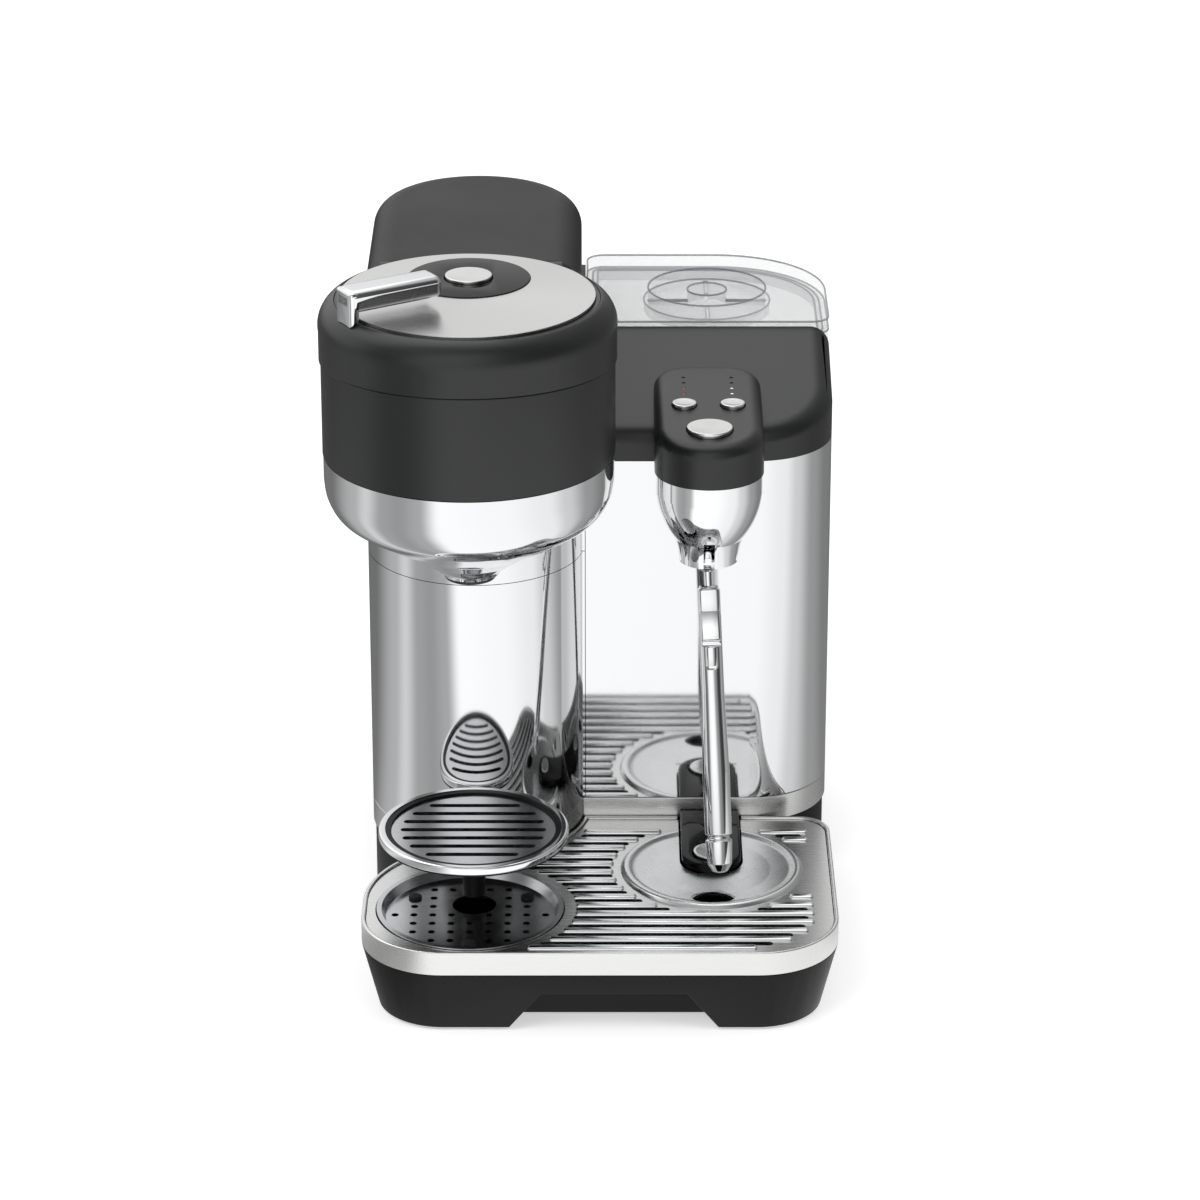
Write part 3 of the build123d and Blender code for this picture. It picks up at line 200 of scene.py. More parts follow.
mirror_steel = polished("mirror_polished_stainless", "#e0e1e2", 0.045, 60.0, 0.05)
chrome = polished("polished_chrome_plate", "#e6e7e8", 0.05, 40.0, 0.02)
dark_mirror = polished("polished_stamped_stainless", "#c9cacc", 0.2, 30.0, 0.05)
satin_steel = polished("satin_stamped_stainless", "#dcdddd", 0.24, 30.0, 0.02)
pressed_steel = polished("pressed_stainless", "#dadbdc", 0.14, 20.0, 0.02)
brushed_steel = brushed("brushed_stainless", "#dcdcdb", 0.26, (0.02, 1.0, 1.0))
plain_steel = brushed("rolled_steel", "#a3a4a6", 0.35, (1.0, 1.0, 0.05))
cast_aluminium = brushed("sand_cast_aluminium", "#999b9d", 0.5, (1.0, 1.0, 1.0), 1.2)

# %% [markdown]
# ### Clear plastic
# The tank and its lid are moulded from a clear, slightly milky copolyester. Most of the light goes straight
# through each wall, so Alpha is low, and a slow noise gives the shine the ripple that moulding leaves. Thick
# edges hold more of the light back, so a greyer, more opaque copy of the same plastic paints that edge shade.

# %% Clear plastic
def clear(name, colour, alpha):
    material, shader = surface(name, colour, 0.08, IOR=1.4, Alpha=alpha)
    place = add(material, "ShaderNodeTexCoord")
    flow = add(material, "ShaderNodeTexNoise", {"Scale": per_metre(35.0), "Detail": 2.0},
               Vector=(place, "Object"))
    bump = add(material, "ShaderNodeBump", {"Strength": 0.1, "Distance": 0.05 * mm}, Height=(flow, "Fac"))
    plug(material, bump, "Normal", shader, "Normal")
    return material


clear_tank = clear("clear_moulded_copolyester", "#e6e8e9", 0.28)
# Painted edge shade: a greyer, more opaque copy of the clear plastic for lines along the lid's edges
edge_shade_plastic = clear("clear_copolyester_painted_edge_shade", "#8d9093", 0.6)

# %% [markdown]
# ## Shaping tools
# Turned pieces (the bowl, buttons, rings and the wand) are made as a turner makes them: a profile is drawn
# point by point and spun round an upright line. Sharp corners of a profile are first replaced by short arcs.
# Moulded and pressed pieces that already have the right size are copied, welded and given rounded edges with
# a Bevel modifier, because a real moulding has no sharp edge.

# %% Modelling helpers
weld = 0.01 * mm
turned_weld = 0.02 * mm
arc_share = 0.49       # of an edge that one corner's arc may take, so that two arcs never meet
flat_angle = math.radians(2)


def deselect():
    if bpy.context.object and bpy.context.object.mode != "OBJECT":
        bpy.ops.object.mode_set(mode="OBJECT")
    bpy.ops.object.select_all(action="DESELECT")


def rounded_line(points, radius, steps=6):
    """A profile of (radius, height) points whose inner corners are replaced by arcs."""
    line = [points[0]]
    for before, corner, after in zip(points, points[1:], points[2:]):
        a = Vector(before) - Vector(corner)
        b = Vector(after) - Vector(corner)
        half = a.angle(b) / 2
        reach = min(radius / math.tan(half), arc_share * a.length, arc_share * b.length)
        start = Vector(corner) + a.normalized() * reach
        end = Vector(corner) + b.normalized() * reach
        for step in range(steps + 1):
            t = step / steps
            line.append(tuple((1 - t) ** 2 * start + 2 * t * (1 - t) * Vector(corner) + t ** 2 * end))
    line.append(points[-1])
    return line


def finish_piece(name, body, material, angle=35):
    """Name the active object, smooth it, give it its finish and let it ride on a body."""
    piece = bpy.context.object
    piece.name = name
    piece.data.name = name
    piece.select_set(True)
    bpy.ops.object.shade_smooth_by_angle(angle=math.radians(angle))
    piece.data.materials.clear()
    piece.data.materials.append(material)
    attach(piece, body)
    return piece


def lathe(centre, profile, steps=96):
    """Spin a profile of (radius, height) points, in millimetres, round an upright line; leaves it active."""
    deselect()
    bpy.ops.mesh.primitive_plane_add(size=mm)
    bpy.ops.object.mode_set(mode="EDIT")
    bpy.ops.mesh.select_all(action="SELECT")
    bpy.ops.mesh.merge(type="CENTER")
    here = Vector((0, 0, 0))
    for index, (radius, height) in enumerate(profile):
        point = Vector((centre[0] + radius * mm, centre[1], height * mm))
        if index == 0:
            bpy.ops.transform.translate(value=point - here)
        else:
            bpy.ops.mesh.extrude_vertices_move(TRANSFORM_OT_translate={"value": point - here})
        here = point
    bpy.ops.mesh.select_all(action="SELECT")
    bpy.ops.mesh.spin(steps=steps, angle=math.tau, center=(centre[0], centre[1], 0), axis=(0, 0, 1))
    bpy.ops.mesh.select_all(action="SELECT")
    bpy.ops.mesh.remove_doubles(threshold=turned_weld)
    bpy.ops.mesh.normals_make_consistent(inside=False)
    bpy.ops.object.mode_set(mode="OBJECT")
    return bpy.context.object


def apply_modifiers(piece):
    deselect()
    piece.select_set(True)
    bpy.context.view_layer.objects.active = piece
    for modifier in list(piece.modifiers):
        bpy.ops.object.modifier_apply(modifier=modifier.name)


def softened(name, width_mm, body, material, segments=6, angle=30):
    """A welded copy of a piece with its edges rounded; it stands for the original."""
    deselect()
    piece = bpy.data.objects.new(name + "_soft", node[name].data.copy())
    bpy.context.scene.collection.objects.link(piece)
    piece.select_set(True)
    bpy.context.view_layer.objects.active = piece
    bpy.ops.object.mode_set(mode="EDIT")
    bpy.ops.mesh.select_all(action="SELECT")
    bpy.ops.mesh.remove_doubles(threshold=weld)
    bpy.ops.mesh.dissolve_limited(angle_limit=flat_angle)
    bpy.ops.object.mode_set(mode="OBJECT")
    bevel = piece.modifiers.new("edge_rounding", "BEVEL")
    bevel.width = width_mm * mm
    bevel.segments = segments
    bevel.limit_method = "ANGLE"
    bevel.angle_limit = math.radians(angle)
    bevel.use_clamp_overlap = True
    apply_modifiers(piece)
    finish_piece(name + "_soft", body, material)
    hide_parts(name)
    return piece


def bar(size, place, bevel_mm, turn=0.0, segments=3):
    """A rounded bar: a cube scaled to size, turned about Z and bevelled; leaves it active."""
    deselect()
    bpy.ops.mesh.primitive_cube_add(size=1)
    piece = bpy.context.object
    bpy.ops.object.mode_set(mode="EDIT")
    bpy.ops.mesh.select_all(action="SELECT")
    bpy.ops.transform.resize(value=[s * mm for s in size])
    bpy.ops.mesh.bevel(offset=bevel_mm * mm, segments=segments, affect="EDGES")
    bpy.ops.object.mode_set(mode="OBJECT")
    piece.rotation_euler = (0, 0, turn)
    piece.location = [p * mm for p in place]
    bpy.ops.object.transform_apply(location=True, rotation=True, scale=True)
    return piece


def join(pieces):
    deselect()
    for piece in pieces:
        piece.select_set(True)
    bpy.context.view_layer.objects.active = pieces[0]
    bpy.ops.object.join()
    return bpy.context.object


def corner_mid(name):
    low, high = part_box(name)
    return (low + high) / 2


# %% [markdown]
# ## The polished bowl
# The bowl under the black band is spun from sheet: straight at the top, a full round below, then a hollow
# sweep down to the spout. A window is cut at the back for the drive belt with a Boolean modifier.

# %% Brew bowl
lid_axis = corner_mid("lid_disc")
bowl_low, bowl_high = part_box("brew_bowl")
bowl_top = bowl_high.z / mm
spout_lip = bowl_low.z / mm
bowl_r = (bowl_high.x - bowl_low.x) / 2 / mm
bowl_wall = 1.5
bowl_floor = 1.0
lip_r = 12.5
spout_r = 11.0
bowl_steps = ((1.0, 1.0), (1.0, 0.8), (0.985, 0.68), (0.91, 0.54), (0.76, 0.445), (0.56, 0.34), (0.34, 0.23),
              (0.15, 0.12), (0.03, 0.04), (0.0, 0.0))
bowl_line = [(lip_r + out * (bowl_r - lip_r), spout_lip + up * (bowl_top - spout_lip))
             for out, up in bowl_steps]
outside = rounded_line(bowl_line, radius=40.0, steps=7)
inside = [(max(r - bowl_wall, spout_r), z + bowl_floor) for r, z in reversed(outside[1:])]
bowl_profile = outside + inside + [(bowl_r - bowl_wall, bowl_top), (bowl_r, bowl_top)]
bowl = lathe(lid_axis, bowl_profile, steps=160)
deselect()
window_size = Vector((60, 50, 20)) * mm
window_back = 50 * mm
window_z = 242 * mm
bpy.ops.mesh.primitive_cube_add(size=1, location=(lid_axis.x, lid_axis.y + window_back, window_z))
cutter = bpy.context.object
cutter.scale = window_size
window = bowl.modifiers.new("belt_window", "BOOLEAN")
window.operation = "DIFFERENCE"
window.object = cutter
apply_modifiers(bowl)
bpy.data.objects.remove(cutter)
bpy.context.view_layer.objects.active = bowl
finish_piece("polished_bowl", "base", mirror_steel)
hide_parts("brew_bowl")
print("bowl radius mm:", round(bowl_r, 1))

# %% [markdown]
# ## Buttons and lamps
# Each button is a shallow spun dish of aluminium: a rounded rim and a very slightly hollow face that catches
# the light in a fan. The lamps are tiny domes behind holes, two of them lit amber and two white.

# %% Buttons
button_sink = 0.4      # below the top of the button's solid
button_rim = 1.2
button_hollow = 0.7


def dished_button(name):
    """A turned button in place of the node, on the body of the same name."""
    low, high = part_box(name)
    centre = (low + high) / 2
    r = (high.x - low.x) / 2 / mm
    top = high.z / mm - button_sink
    bottom = low.z / mm
    profile = [(0, bottom), (r, bottom), (r, top), (r - button_rim, top), (0, top - button_hollow)]
    lathe(centre, rounded_line(profile, radius=0.5, steps=4), steps=64)
    finish = spun("spun_aluminium_" + name, "#dcdcdb", 0.2, centre, ring_mm=0.7)
    piece = finish_piece(name + "_dish", name, finish)
    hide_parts(name)


for name in ("brew_button", "steam_button", "sensor_pad", "milk_temp_button", "foam_button"):
    dished_button(name)


def lit(name, colour, strength):
    material, shader = surface(name, colour, 0.2, Emission_Strength=strength)
    shader.inputs["Emission Color"].default_value = linear(colour)
    place = add(material, "ShaderNodeTexCoord")
    speck = add(material, "ShaderNodeTexNoise", {"Scale": per_metre(0.8)}, Vector=(place, "Object"))
    spread = add(material, "ShaderNodeMapRange", {"To Min": 0.15, "To Max": 0.3}, Value=(speck, "Fac"))
    plug(material, spread, "Result", shader, "Roughness")
    return material


lamp_low, lamp_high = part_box("pod_lamps")
lamp_r = 0.9
lens_r = lamp_r - 0.03
lens_depth = 8.0
lens_stand = 0.3       # above the pod's face
lens_dome = 0.5
lamp_rows = 4
lit_rows = 2
pod_face_y = -58.8     # where the pod's sloping face starts, at the front
pod_face_z = 236.0
pod_slope = 6.0 / 92.8
lamp_finishes = {"dark": gloss_black, "amber": lit("amber_lens", "#a8481c", 0.15),
                 "white": lit("white_lens", "#e6e6e6", 0.25)}
lamp_groups = {"dark": [], "amber": [], "white": []}
row_gap = (lamp_high.y - lamp_low.y - 2 * lamp_r * mm) / (lamp_rows - 1)
for side in (0, 1):
    x = lamp_low.x + lamp_r * mm if side == 0 else lamp_high.x - lamp_r * mm
    for row in range(lamp_rows):
        y = lamp_low.y + lamp_r * mm + row * row_gap
        kind = ("amber", "white")[side] if row < lit_rows else "dark"
        top = pod_face_z + pod_slope * (y / mm - pod_face_y) + lens_stand
        dome = [(0, top - lens_depth), (lens_r, top - lens_depth), (lens_r, top - lens_dome), (0, top)]
        lens = lathe((x, y), rounded_line(dome, radius=0.4, steps=3), steps=20)
        lamp_groups[kind].append(lens)
for kind, lenses in lamp_groups.items():
    join(lenses)
    piece = finish_piece("pod_lamps_" + kind, "base", lamp_finishes[kind])
    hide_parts("pod_lamps")
print("lamps:", {kind: len(lenses) for kind, lenses in lamp_groups.items()})

# %% [markdown]
# ## The lever
# The lever is a solid cast bar with a fully rounded top, turned down at its outer end into a finger tab that
# reaches over the lid's shoulder. A cube is scaled and bevelled for each part, a Boolean modifier clears the
# shoulder from the tab, and a web joins the tab to the ring below.

# %% Lever
lever_from = Vector((-18.7, -11.3))    # from the lid's axis
lever_to = Vector((-47.9, -29.4))
lever_line = lever_to - lever_from
lever_turn = math.atan2(lever_line.y, lever_line.x)
lever_along = lever_line.normalized()
lever_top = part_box("lever")[1].z / mm
lever_width = 13.5
bar_height = 9.5
tab_thickness = 4.5
tab_drop = 19.5
tab_inset = 0.4        # the tab is narrower and lower than the bar by this much
web_size = (1.3, 8.0, 6.0)
web_drop = 12.4
web_back = 2.0         # from the lever's outer end
shoulder_line = [(0, 300), (63.4, 300), (63.4, 304.5), (61.9, 312), (56.9, 318.3), (0, 318.3)]
axis_mm = lid_axis / mm


def beside_lever(reach, z):
    """A point along the lever's line, in millimetres from its inner end."""
    spot = lever_from + lever_along * reach
    return (axis_mm.x + spot.x, axis_mm.y + spot.y, z)


lever_end = lever_line.length + tab_thickness / 2
bar_length = lever_end + lever_width / 2
top_bar = bar((bar_length, lever_width, bar_height),
              beside_lever(lever_end - bar_length / 2, lever_top - bar_height / 2),
              bevel_mm=3.0, turn=lever_turn, segments=6)
tab = bar((tab_thickness, lever_width - tab_inset, tab_drop),
          beside_lever(lever_end - tab_thickness / 2, lever_top - tab_inset - tab_drop / 2),
          bevel_mm=1.6, turn=lever_turn, segments=5)
shoulder_cutter = lathe(lid_axis, shoulder_line)
clearance = tab.modifiers.new("shoulder_clearance", "BOOLEAN")
clearance.operation = "DIFFERENCE"
clearance.object = shoulder_cutter
apply_modifiers(tab)
bpy.data.objects.remove(shoulder_cutter)
web = bar(web_size, beside_lever(lever_line.length - web_back, lever_top - web_drop),
          bevel_mm=0.3, turn=lever_turn, segments=2)
lever = join([top_bar, tab, web])
finish_piece("cast_lever", "lock_lever", chrome, angle=40)
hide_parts("lever")

# %% [markdown]
# ## The steam wand
# The wand is a chromed tube that hangs from a ball inside the cone and leans forward and a little to the
# right. It is turned upright, with its groove and its tapered nozzle in the profile, and then leaned over.
# In front it has a square collar, a finger lift that slopes away from the tube and ends in a round lip, and a
# small knob below.

# %% Wand
pivot = Vector(next(j["pos_m"] for j in frame["joints"] if j["name"] == "wand_swing"))
wand_lean = math.radians(19.1)
side_lean = math.radians(2.4)
tube_top = 13.0
wand_r = 6.0
neck_r = 5.1
groove = 123.0
wand_end = 139.5
below = Vector((0, 0, -tube_top)) * mm
lean = (Matrix.Translation(pivot) @ Matrix.Rotation(-wand_lean, 4, "X") @ Matrix.Translation(below)
        @ Matrix.Rotation(-side_lean, 4, "Y") @ Matrix.Translation(-below))


def lean_over(piece):
    """Carry an upright piece, made round the origin, to the wand's place."""
    piece.matrix_world = lean
    deselect()
    piece.select_set(True)
    bpy.context.view_layer.objects.active = piece
    bpy.ops.object.transform_apply(location=True, rotation=True, scale=True)


ball_r = 7.0
ball_steps = 16        # of half a turn; the last one is inside the neck
ball = [(ball_r * math.sin(t * math.pi / ball_steps), ball_r * math.cos(t * math.pi / ball_steps))
        for t in range(ball_steps - 1)]
stem_r = 1.9
neck = [(stem_r, -ball_r), (stem_r, -tube_top)]
tube = rounded_line([(neck_r - 1.2, -tube_top), (neck_r, -tube_top - 2.0), (neck_r, -60.0), (wand_r, -95.0),
                     (wand_r, -groove + 0.6), (wand_r - 1.0, -groove), (0, -groove)], radius=0.8, steps=4)
wand = lathe((0, 0), ball + neck + tube, steps=64)
lift_width = 8.6
lift_slope = math.radians(14)
lift_lip_r = 1.7
lip_half = lift_width / 2
collar_size = (lift_width + 0.8, 9.5, 13.0)
lift_size = (lift_width, 2.4, 15.0)
knob_size = (5.6, 5.0, 12.0)
# Middles of the fittings: along Y from the tube's middle, and down from the tube's top
collar_y, collar_down = -2.6, 7.0
lift_y, lift_down = -wand_r - 1.8, 17.5
lip_y, lip_down = -wand_r - 3.6, 24.5
knob_y, knob_down = -wand_r + 0.6, 31.0
collar = bar(collar_size, (0, collar_y, -tube_top - collar_down), bevel_mm=1.8, segments=5)
lift = bar(lift_size, (0, 0, 0), bevel_mm=1.1, segments=4)
lift.rotation_euler = (-lift_slope, 0, 0)
lift.location = Vector((0, lift_y, -tube_top - lift_down)) * mm
bpy.ops.object.transform_apply(location=True, rotation=True, scale=True)
lip_profile = [(0, -lip_half), (lift_lip_r, -lip_half), (lift_lip_r, lip_half), (0, lip_half)]
lip = lathe((0, 0), rounded_line(lip_profile, radius=0.8, steps=4), steps=40)
lip.rotation_euler = (0, math.radians(90), 0)
lip.location = Vector((0, lip_y, -tube_top - lip_down)) * mm
bpy.ops.object.transform_apply(location=True, rotation=True, scale=True)
knob = bar(knob_size, (0, knob_y, -tube_top - knob_down), bevel_mm=2.2, segments=5)
wand = join([wand, collar, lift, lip, knob])
lean_over(wand)
finish_piece("steam_wand", "wand", chrome, angle=40)
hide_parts("wand_tube")
tip_profile = [(0, -groove), (wand_r - 1.2, -groove), (wand_r - 1.2, -groove - 1.5), (wand_r, -groove - 2.2),
               (wand_r - 0.5, -wand_end + 4), (wand_r - 2.6, -wand_end + 0.6), (1.6, -wand_end),
               (0, -wand_end)]
tip = lathe((0, 0), rounded_line(tip_profile, radius=0.9, steps=4), steps=64)
lean_over(tip)
finish_piece("steam_nozzle", "wand", chrome, angle=40)
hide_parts("wand_tip")

# %% [markdown]
# ## The drip tray's plate
# The plate is pressed stainless. Between its slots stand rounded ribs, which are the bright lines of the
# tray. Each rib is a bevelled bar as long as its row allows: it stops short of the cup dish, the jug ring,
# the sensor's tongue and the tray's rounded corners.

# %% Ribs
plate_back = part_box("ribbed_plate")[1].y / mm
band_low, band_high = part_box("tray_band")
dish_low, dish_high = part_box("cup_grid")
dish = corner_mid("cup_grid") / mm
dish_r = (dish_high.x - dish_low.x) / 2 / mm
jug = Vector((56.0, -66.0))
jug_r = 39.5
tongue_half = 13.3
tower = Vector((-48.5, -5.0))
tower_r = 48.0
tray_front = band_low.y / mm
tray_right = band_high.x / mm
tray_corner = 36.0
rib_pitch = 8.2
rib_width = 4.4
rib_height = 3.0
rib_round = 1.4
rib_sink = 0.5         # of a rib's middle below the plate's top
rib_edge = 10.0        # from a rib's end to the tray's edge
rib_back = 8.0         # from the last rib to the plate's back
shortest_rib = 8.0
rib_left = tower.x + tower_r - 25    # no rib starts further left
first_slot = 11.0      # from the tray's front to the middle of the first slot
rib_first = tray_front + first_slot - rib_pitch / 2
plate_top = 40.0
margin = 5.0           # from the ribs to the tower and the cup dish
jug_margin = 4.0


def rib_spans(y):
    """Stretches of one rib row, in millimetres along X."""
    left = rib_left
    for middle, reach in ((tower, tower_r + margin), (dish, dish_r + margin)):
        if abs(y - middle.y) < reach:
            left = max(left, middle.x + math.sqrt(reach ** 2 - (y - middle.y) ** 2))
    right = tray_right - rib_edge
    corner_y = tray_front + tray_corner
    if y < corner_y:
        reach = tray_corner - rib_edge
        right = tray_right - tray_corner + math.sqrt(max(reach ** 2 - (corner_y - y) ** 2, 0))
    keep_out = jug_r + jug_margin
    spans = [(left, right)]
    if abs(y - jug.y) < keep_out:
        half = math.sqrt(keep_out ** 2 - (y - jug.y) ** 2)
        spans = [(left, jug.x - half), (jug.x + half, right)]
    elif y > jug.y:
        spans = [(left, jug.x - tongue_half - margin), (jug.x + tongue_half + margin, right)]
    return [(a, b) for a, b in spans if b - a > shortest_rib]


ribs = []
rib_y = rib_first
while rib_y < plate_back - rib_back:
    for a, b in rib_spans(rib_y):
        middle = ((a + b) / 2, rib_y, plate_top - rib_sink)
        ribs.append(bar((b - a, rib_width, rib_height), middle, rib_round, segments=4))
    rib_y += rib_pitch
print("ribs:", len(ribs))
join(ribs)
finish_piece("plate_ribs", "tray", pressed_steel, angle=40)

# %% [markdown]
# ## Jug dish and cup dish
# The jug stands on a pressed dish with a soft rounded rim, a shallow hollow floor and a drain hole. The cup
# dish has three small rubber pads to stand a cup on.

# %% Jug dish
rim_r = 40.4
dish_sink = 0.2        # below the plate's top
gap_length = 90.0      # of the way that the tongue has through the dish's back
gap_middle = 40.0      # behind the dish's middle
gap_width = 2 * tongue_half + 1.6
cutter_height = 10.0
drain_r = 9.6
drain_flat = 0.62
drain_front = 29.5     # from the dish's middle
heights = ((0, 0.25), (26, 0.3), (34.8, 0.8), (37.0, 1.9), (39.0, 1.7), (rim_r, 0.1))
dish_line = rounded_line([(r, plate_top + height) for r, height in heights], radius=6.0)
dish_under = plate_top - dish_sink
jug_ring = lathe(jug * mm, dish_line + [(rim_r, dish_under), (0, dish_under)], steps=128)
deselect()
bpy.ops.mesh.primitive_cube_add(size=1, location=Vector((jug.x, jug.y + gap_middle, plate_top)) * mm)
gap_cutter = bpy.context.object
gap_cutter.scale = Vector((gap_width, gap_length, cutter_height)) * mm
opening = jug_ring.modifiers.new("tongue_gap", "BOOLEAN")
opening.operation = "DIFFERENCE"
opening.object = gap_cutter
bpy.ops.mesh.primitive_cylinder_add(vertices=64, radius=drain_r * mm, depth=cutter_height * mm)
drain_cutter = bpy.context.object
drain_cutter.scale = (1.0, drain_flat, 1.0)
drain_cutter.location = Vector((jug.x, jug.y - drain_front, plate_top)) * mm
drain = jug_ring.modifiers.new("drain_hole", "BOOLEAN")
drain.operation = "DIFFERENCE"
drain.object = drain_cutter
apply_modifiers(jug_ring)
bpy.data.objects.remove(gap_cutter)
bpy.data.objects.remove(drain_cutter)
bpy.context.view_layer.objects.active = jug_ring
finish_piece("jug_dish", "tray", satin_steel, angle=40)

pads = []
pad_r = 2.9
pad_ring_r = 30.0
pad_ring_depth = 28.5
pad_bottom = dish_low.z / mm + 1.1
pad_edge = pad_bottom + 1.4
pad_top = pad_bottom + 1.7
pad_turns = (35, 145, 270)
for turn in pad_turns:
    x = dish.x + pad_ring_r * math.cos(math.radians(turn))
    y = dish.y + pad_ring_depth * math.sin(math.radians(turn))
    pad = [(0, pad_bottom), (pad_r, pad_bottom), (pad_r, pad_edge), (0, pad_top)]
    pads.append(lathe((x * mm, y * mm), rounded_line(pad, radius=0.6, steps=4), steps=32))
join(pads)
finish_piece("cup_pads", "tray", black_rubber)

# %% [markdown]
# ## The cup platform
# A black pan carries a slotted steel disc for small cups, and a thin chromed ring closes its edge.

# %% Cup platform
pan_low, pan_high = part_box("platform_pan")
pan_mid = corner_mid("platform_pan")
pan_r = (pan_high.x - pan_low.x) / 2 / mm
pan_top = pan_high.z / mm
ring_height = 3.4
ring_width = 2.6
ring_proud = 0.4       # outside and above the pan
ring_in, ring_out = pan_r - ring_width, pan_r + ring_proud
ring_bottom, ring_top = pan_top - ring_height, pan_top + ring_proud
ring = rounded_line([(ring_in, ring_bottom), (ring_out, ring_bottom), (ring_out, ring_top),
                     (ring_in, ring_top)], radius=1.2)
lathe(pan_mid, ring + [ring[0]], steps=128)
finish_piece("platform_ring", "cup_platform", chrome, angle=40)

# %% [markdown]
# ## Rounded mouldings and pressings
# These pieces have the right form, and only need the edges that a mould, a press or a file leaves.

# %% Softened copies
mouldings = {
    "lid_shell": (0.6, "lid", "satin_black", satin_abs),
    "tray_body": (1.0, "tray", "chassis_black", chassis_abs),
    "tray_band": (0.6, "tray", "brushed_steel", brushed_steel),
    "sensor_tongue": (1.2, "base", "gloss_black", gloss_black),
    "control_disc": (0.4, "lid", "gloss_black", gloss_black),
    "brew_housing": (0.6, "base", "satin_black", satin_abs),
    "rear_cover": (2.0, "base", "chassis_black", chassis_abs),
    "tank_lid": (0.8, "tank_lid", "clear_plastic", clear_tank),
    "base_band": (0.5, "base", "brushed_steel", brushed_steel),
}
for name, (width, body, slot, material) in mouldings.items():
    piece = softened(name, width, body, material)
    print(piece.name, len(piece.data.polygons), "faces")

# %% [markdown]
# ## Painted edge shade on the tank's lid
# Light takes a longer way through the corners of a clear moulding, so its edges show as thin grey lines. That
# shade is painted: a fine tube of the greyer plastic follows the sharp edges of the lid's top: its outline,
# its finger recess and its knob.

# %% Lid painted edge shade
shade_line_r = 0.45
shade_line_depth = 7.0       # from the lid's top down to the lowest edge with a painted shade line
sharp_angle = math.radians(50)
deselect()
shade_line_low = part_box("tank_lid")[1].z - shade_line_depth * mm
# Painted edge shade: the lid's sharp edges become thin tubes of the greyer plastic
edge_shade_lines = bpy.data.objects.new("lid_painted_edge_shade", node["tank_lid"].data.copy())
bpy.context.scene.collection.objects.link(edge_shade_lines)
edge_shade_lines.select_set(True)
bpy.context.view_layer.objects.active = edge_shade_lines
bpy.ops.object.mode_set(mode="EDIT")
bpy.ops.mesh.select_mode(type="EDGE")
bpy.ops.mesh.select_all(action="SELECT")
bpy.ops.mesh.remove_doubles(threshold=weld)
bpy.ops.mesh.select_all(action="DESELECT")
bpy.ops.mesh.edges_select_sharp(sharpness=sharp_angle)
bpy.ops.mesh.select_all(action="INVERT")
bpy.ops.mesh.delete(type="EDGE")
bpy.ops.mesh.select_mode(type="VERT")
bpy.ops.object.mode_set(mode="OBJECT")
for vertex in edge_shade_lines.data.vertices:
    vertex.select = vertex.co.z < shade_line_low
bpy.ops.object.mode_set(mode="EDIT")
bpy.ops.mesh.delete(type="VERT")
bpy.ops.object.mode_set(mode="OBJECT")
bpy.ops.object.convert(target="CURVE")
edge_shade_lines.data.bevel_depth = shade_line_r * mm
edge_shade_lines.data.bevel_resolution = 3
bpy.ops.object.convert(target="MESH")
finish_piece("lid_painted_edge_shade", "tank_lid", edge_shade_plastic, angle=60)
print("lid edge shade lines:", len(edge_shade_lines.data.polygons), "faces")

# %% [markdown]
# ## Finishes on the pieces that stay
# A piece whose shape is already right keeps it and only takes a finish.

# %% Paint the kept pieces
finishes = {
    satin_abs: "hood spout_insert pod_shell lock_ring",
    matt_abs: "capsule_container",
    chassis_abs: "base_frame mains_inlet rear_wall container_bay tank_seat capsule_clamp platform_bracket "
                 "platform_pan",
    mirror_steel: "body_panel tower_lower tower_upper",
    dark_mirror: "cup_grid platform_grid",
    brushed_steel: "ribbed_plate capsule_holder",
    chrome: "steam_cone",
    black_rubber: "foot_pads tank_seal clamp_seal drive_belt pump_mounts",
    clear_tank: "tank_shell",
    cast_aluminium: "thermoblock steam_boiler motor_pulley",
    board_laminate: "main_board pod_board",
    white_nylon: "pump solenoid_valve water_hose",
    plain_steel: "base_screws hinge_pins holder_bearing brew_motor steam_pipe",
    spun("lathe_turned_stainless", "#d2d2d1", 0.24, lid_axis): "lid_disc",
}
for material, names in finishes.items():
    for name in names.split():
        node[name].data.materials.clear()
        node[name].data.materials.append(material)
print("finishes:", len(finishes))

# %% [markdown]
# ## Floor, backdrop and lamps
# The floor is a big pale sheet of paper. A little glow, seen by the camera alone, lifts it to white, while
# its diffuse part still takes the shadow. Large soft boxes light the object from the front left, the right
# and the back. Polished metal looks like what it reflects, so for shiny surfaces alone the floor glows with a
# painted reflection: a ring of bright and grey bands round the object. The ceiling is bright overhead and
# at the back, with a dark strip in front.

# %% Stage
# Painted reflection levels round the object, from the left (0) over the front (0.25) to the right (0.5) and
# the back
painted_reflection_levels = ((0.0, 0.55), (0.035, 0.8), (0.075, 0.45), (0.11, 0.4), (0.15, 0.5), (0.19, 1.3), (0.3, 1.25),
         (0.4, 1.1), (0.45, 0.8), (0.52, 0.4), (0.6, 0.25), (0.75, 0.12), (0.9, 0.2), (1.0, 0.55))
paper_lift = 0.5
floor_size = 14
# Grey levels of the ceiling: by height, from front to back and from left to right
sky_heights = ((0.0, 0.7), (0.3, 0.92), (0.45, 0.95), (0.8, 1.6), (1.0, 2.2))
sky_depths = ((0.0, 1.35), (0.1, 1.1), (0.22, 0.25), (0.34, 0.2), (0.55, 1.0))
sky_sides = ((0.2, 1.2), (0.5, 1.0), (0.75, 0.35))
sky_fill = 0.55


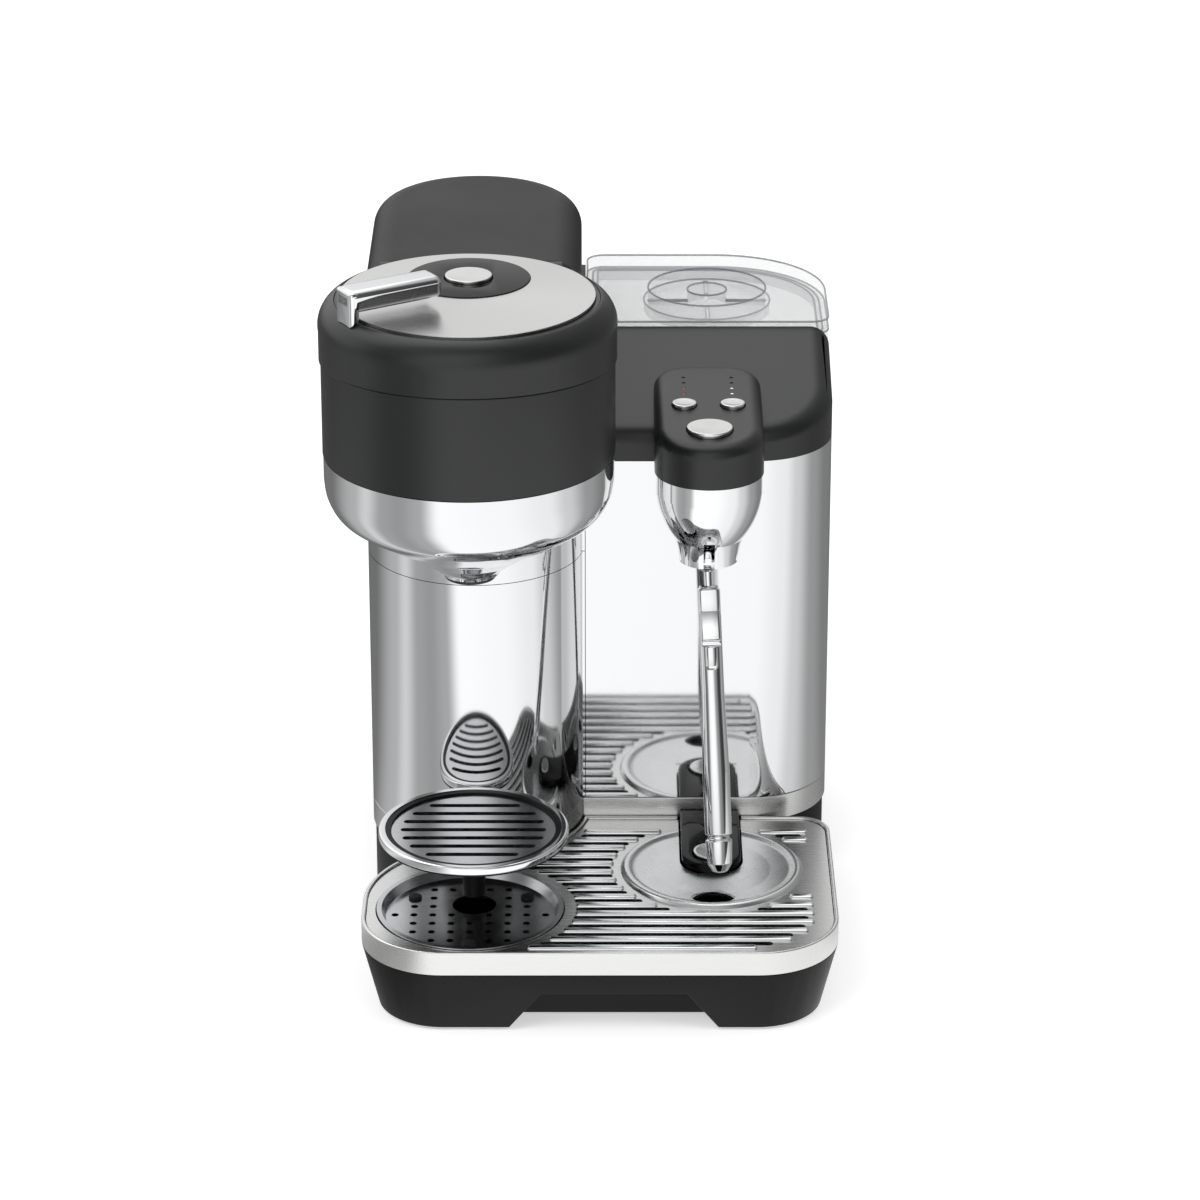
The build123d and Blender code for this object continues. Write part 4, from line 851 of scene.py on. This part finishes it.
def ramp(tree, source, stops):
    """A colour ramp of grey levels, smooth between the stops."""
    made = tree.nodes.new("ShaderNodeValToRGB")
    made.color_ramp.interpolation = "EASE"
    points = made.color_ramp.elements
    points[0].position, points[1].position = stops[0][0], stops[-1][0]
    for place, _ in stops[1:-1]:
        points.new(place)
    for point, (_, level) in zip(points, stops):
        point.color = (level, level, level, 1)
    tree.links.new(source, made.inputs["Fac"])
    return made.outputs["Color"]


def math_node(tree, operation, *values):
    """A Math node whose inputs are sockets or numbers."""
    made = tree.nodes.new("ShaderNodeMath")
    made.operation = operation
    for slot, value in zip(made.inputs, values):
        if isinstance(value, float):
            slot.default_value = value
        else:
            tree.links.new(value, slot)
    return made.outputs[0]


deselect()
bpy.ops.mesh.primitive_plane_add(size=floor_size)
floor = bpy.context.object
floor.name = "floor"
paper_with_painted_reflection, paper_shader = surface("white_paper_with_painted_reflection", "#e9e9e9", 0.9)
rays = add(paper_with_painted_reflection, "ShaderNodeLightPath")
place = add(paper_with_painted_reflection, "ShaderNodeTexCoord")
around = add(paper_with_painted_reflection, "ShaderNodeTexGradient", {"gradient_type": "RADIAL"}, Vector=(place, "Object"))
# Painted reflection: glossy rays see the floor glowing in these bands instead of the paper
painted_reflection_glow = add(paper_with_painted_reflection, "ShaderNodeEmission")
painted_reflection_or_paper = add(paper_with_painted_reflection, "ShaderNodeMixShader", Fac=(rays, "Is Glossy Ray"))
links = paper_with_painted_reflection.node_tree.links
painted_reflection_ramp = ramp(paper_with_painted_reflection.node_tree, around.outputs["Fac"], painted_reflection_levels)
links.new(painted_reflection_ramp, painted_reflection_glow.inputs["Strength"])
seen = math_node(paper_with_painted_reflection.node_tree, "MULTIPLY", rays.outputs["Is Camera Ray"], paper_lift)
paper_shader.inputs["Emission Color"].default_value = (1, 1, 1, 1)
links.new(seen, paper_shader.inputs["Emission Strength"])
links.new(paper_shader.outputs["BSDF"], painted_reflection_or_paper.inputs[1])
links.new(painted_reflection_glow.outputs["Emission"], painted_reflection_or_paper.inputs[2])
links.new(painted_reflection_or_paper.outputs["Shader"], paper_with_painted_reflection.node_tree.nodes["Material Output"].inputs["Surface"])
floor.data.materials.append(paper_with_painted_reflection)

world = bpy.data.worlds.new("white_studio")
bpy.context.scene.world = world
world.use_nodes = True
tree = world.node_tree
background = tree.nodes["Background"]
background.inputs["Color"].default_value = (1, 1, 1, 1)
path = tree.nodes.new("ShaderNodeLightPath")
heading = tree.nodes.new("ShaderNodeTexCoord")
parts = tree.nodes.new("ShaderNodeSeparateXYZ")
tree.links.new(heading.outputs["Generated"], parts.inputs[0])
overhead = ramp(tree, parts.outputs["Z"], sky_heights)
halved = {axis: math_node(tree, "MULTIPLY_ADD", parts.outputs[axis], 0.5, 0.5) for axis in "XY"}
sky = math_node(tree, "MULTIPLY", ramp(tree, halved["X"], sky_sides), ramp(tree, halved["Y"], sky_depths))
sky = math_node(tree, "MULTIPLY", overhead, sky)
sky = math_node(tree, "MULTIPLY", sky, path.outputs["Is Glossy Ray"])
straight = math_node(tree, "MAXIMUM", path.outputs["Is Camera Ray"], path.outputs["Is Transmission Ray"])
soft = math_node(tree, "MULTIPLY", path.outputs["Is Diffuse Ray"], sky_fill)
level = math_node(tree, "ADD", math_node(tree, "ADD", straight, soft), sky)
tree.links.new(level, background.inputs["Strength"])


def soft_box(name, size, place, aim, watts):
    light = bpy.data.lights.new(name, "AREA")
    light.shape = "RECTANGLE"
    light.size = size[0]
    light.size_y = size[1]
    light.energy = watts
    lamp = bpy.data.objects.new(name, light)
    lamp.location = place
    lamp.rotation_euler = (Vector(aim) - Vector(place)).to_track_quat("-Z", "Y").to_euler()
    lamp.visible_glossy = False
    bpy.context.scene.collection.objects.link(lamp)


body_middle = (0, 0, 0.15)
soft_box("key_box", (1.2, 1.2), (-1.0, -1.2, 1.7), body_middle, 16)
soft_box("fill_box", (0.8, 1.4), (1.5, -0.9, 1.1), body_middle, 9)
soft_box("back_box", (1.4, 0.8), (0.2, 1.4, 1.5), (0, 0, 0.2), 8)

# %% [markdown]
# ## Camera
# The camera looks from the front, a little down, from far away with a long lens.

# %% Camera
camera_place = Vector((6.5, -1902, 936)) * mm
camera_pitch = 22.67   # degrees below the horizon
camera_data = bpy.data.cameras.new("camera")
camera_data.sensor_width = 36
camera_data.lens = 138
camera = bpy.data.objects.new("camera", camera_data)
camera.location = camera_place
camera.rotation_euler = (math.radians(90 - camera_pitch), 0, 0)
camera_data.clip_end = 30
bpy.context.scene.collection.objects.link(camera)
bpy.context.scene.camera = camera
bpy.context.scene.view_settings.view_transform = "Standard"
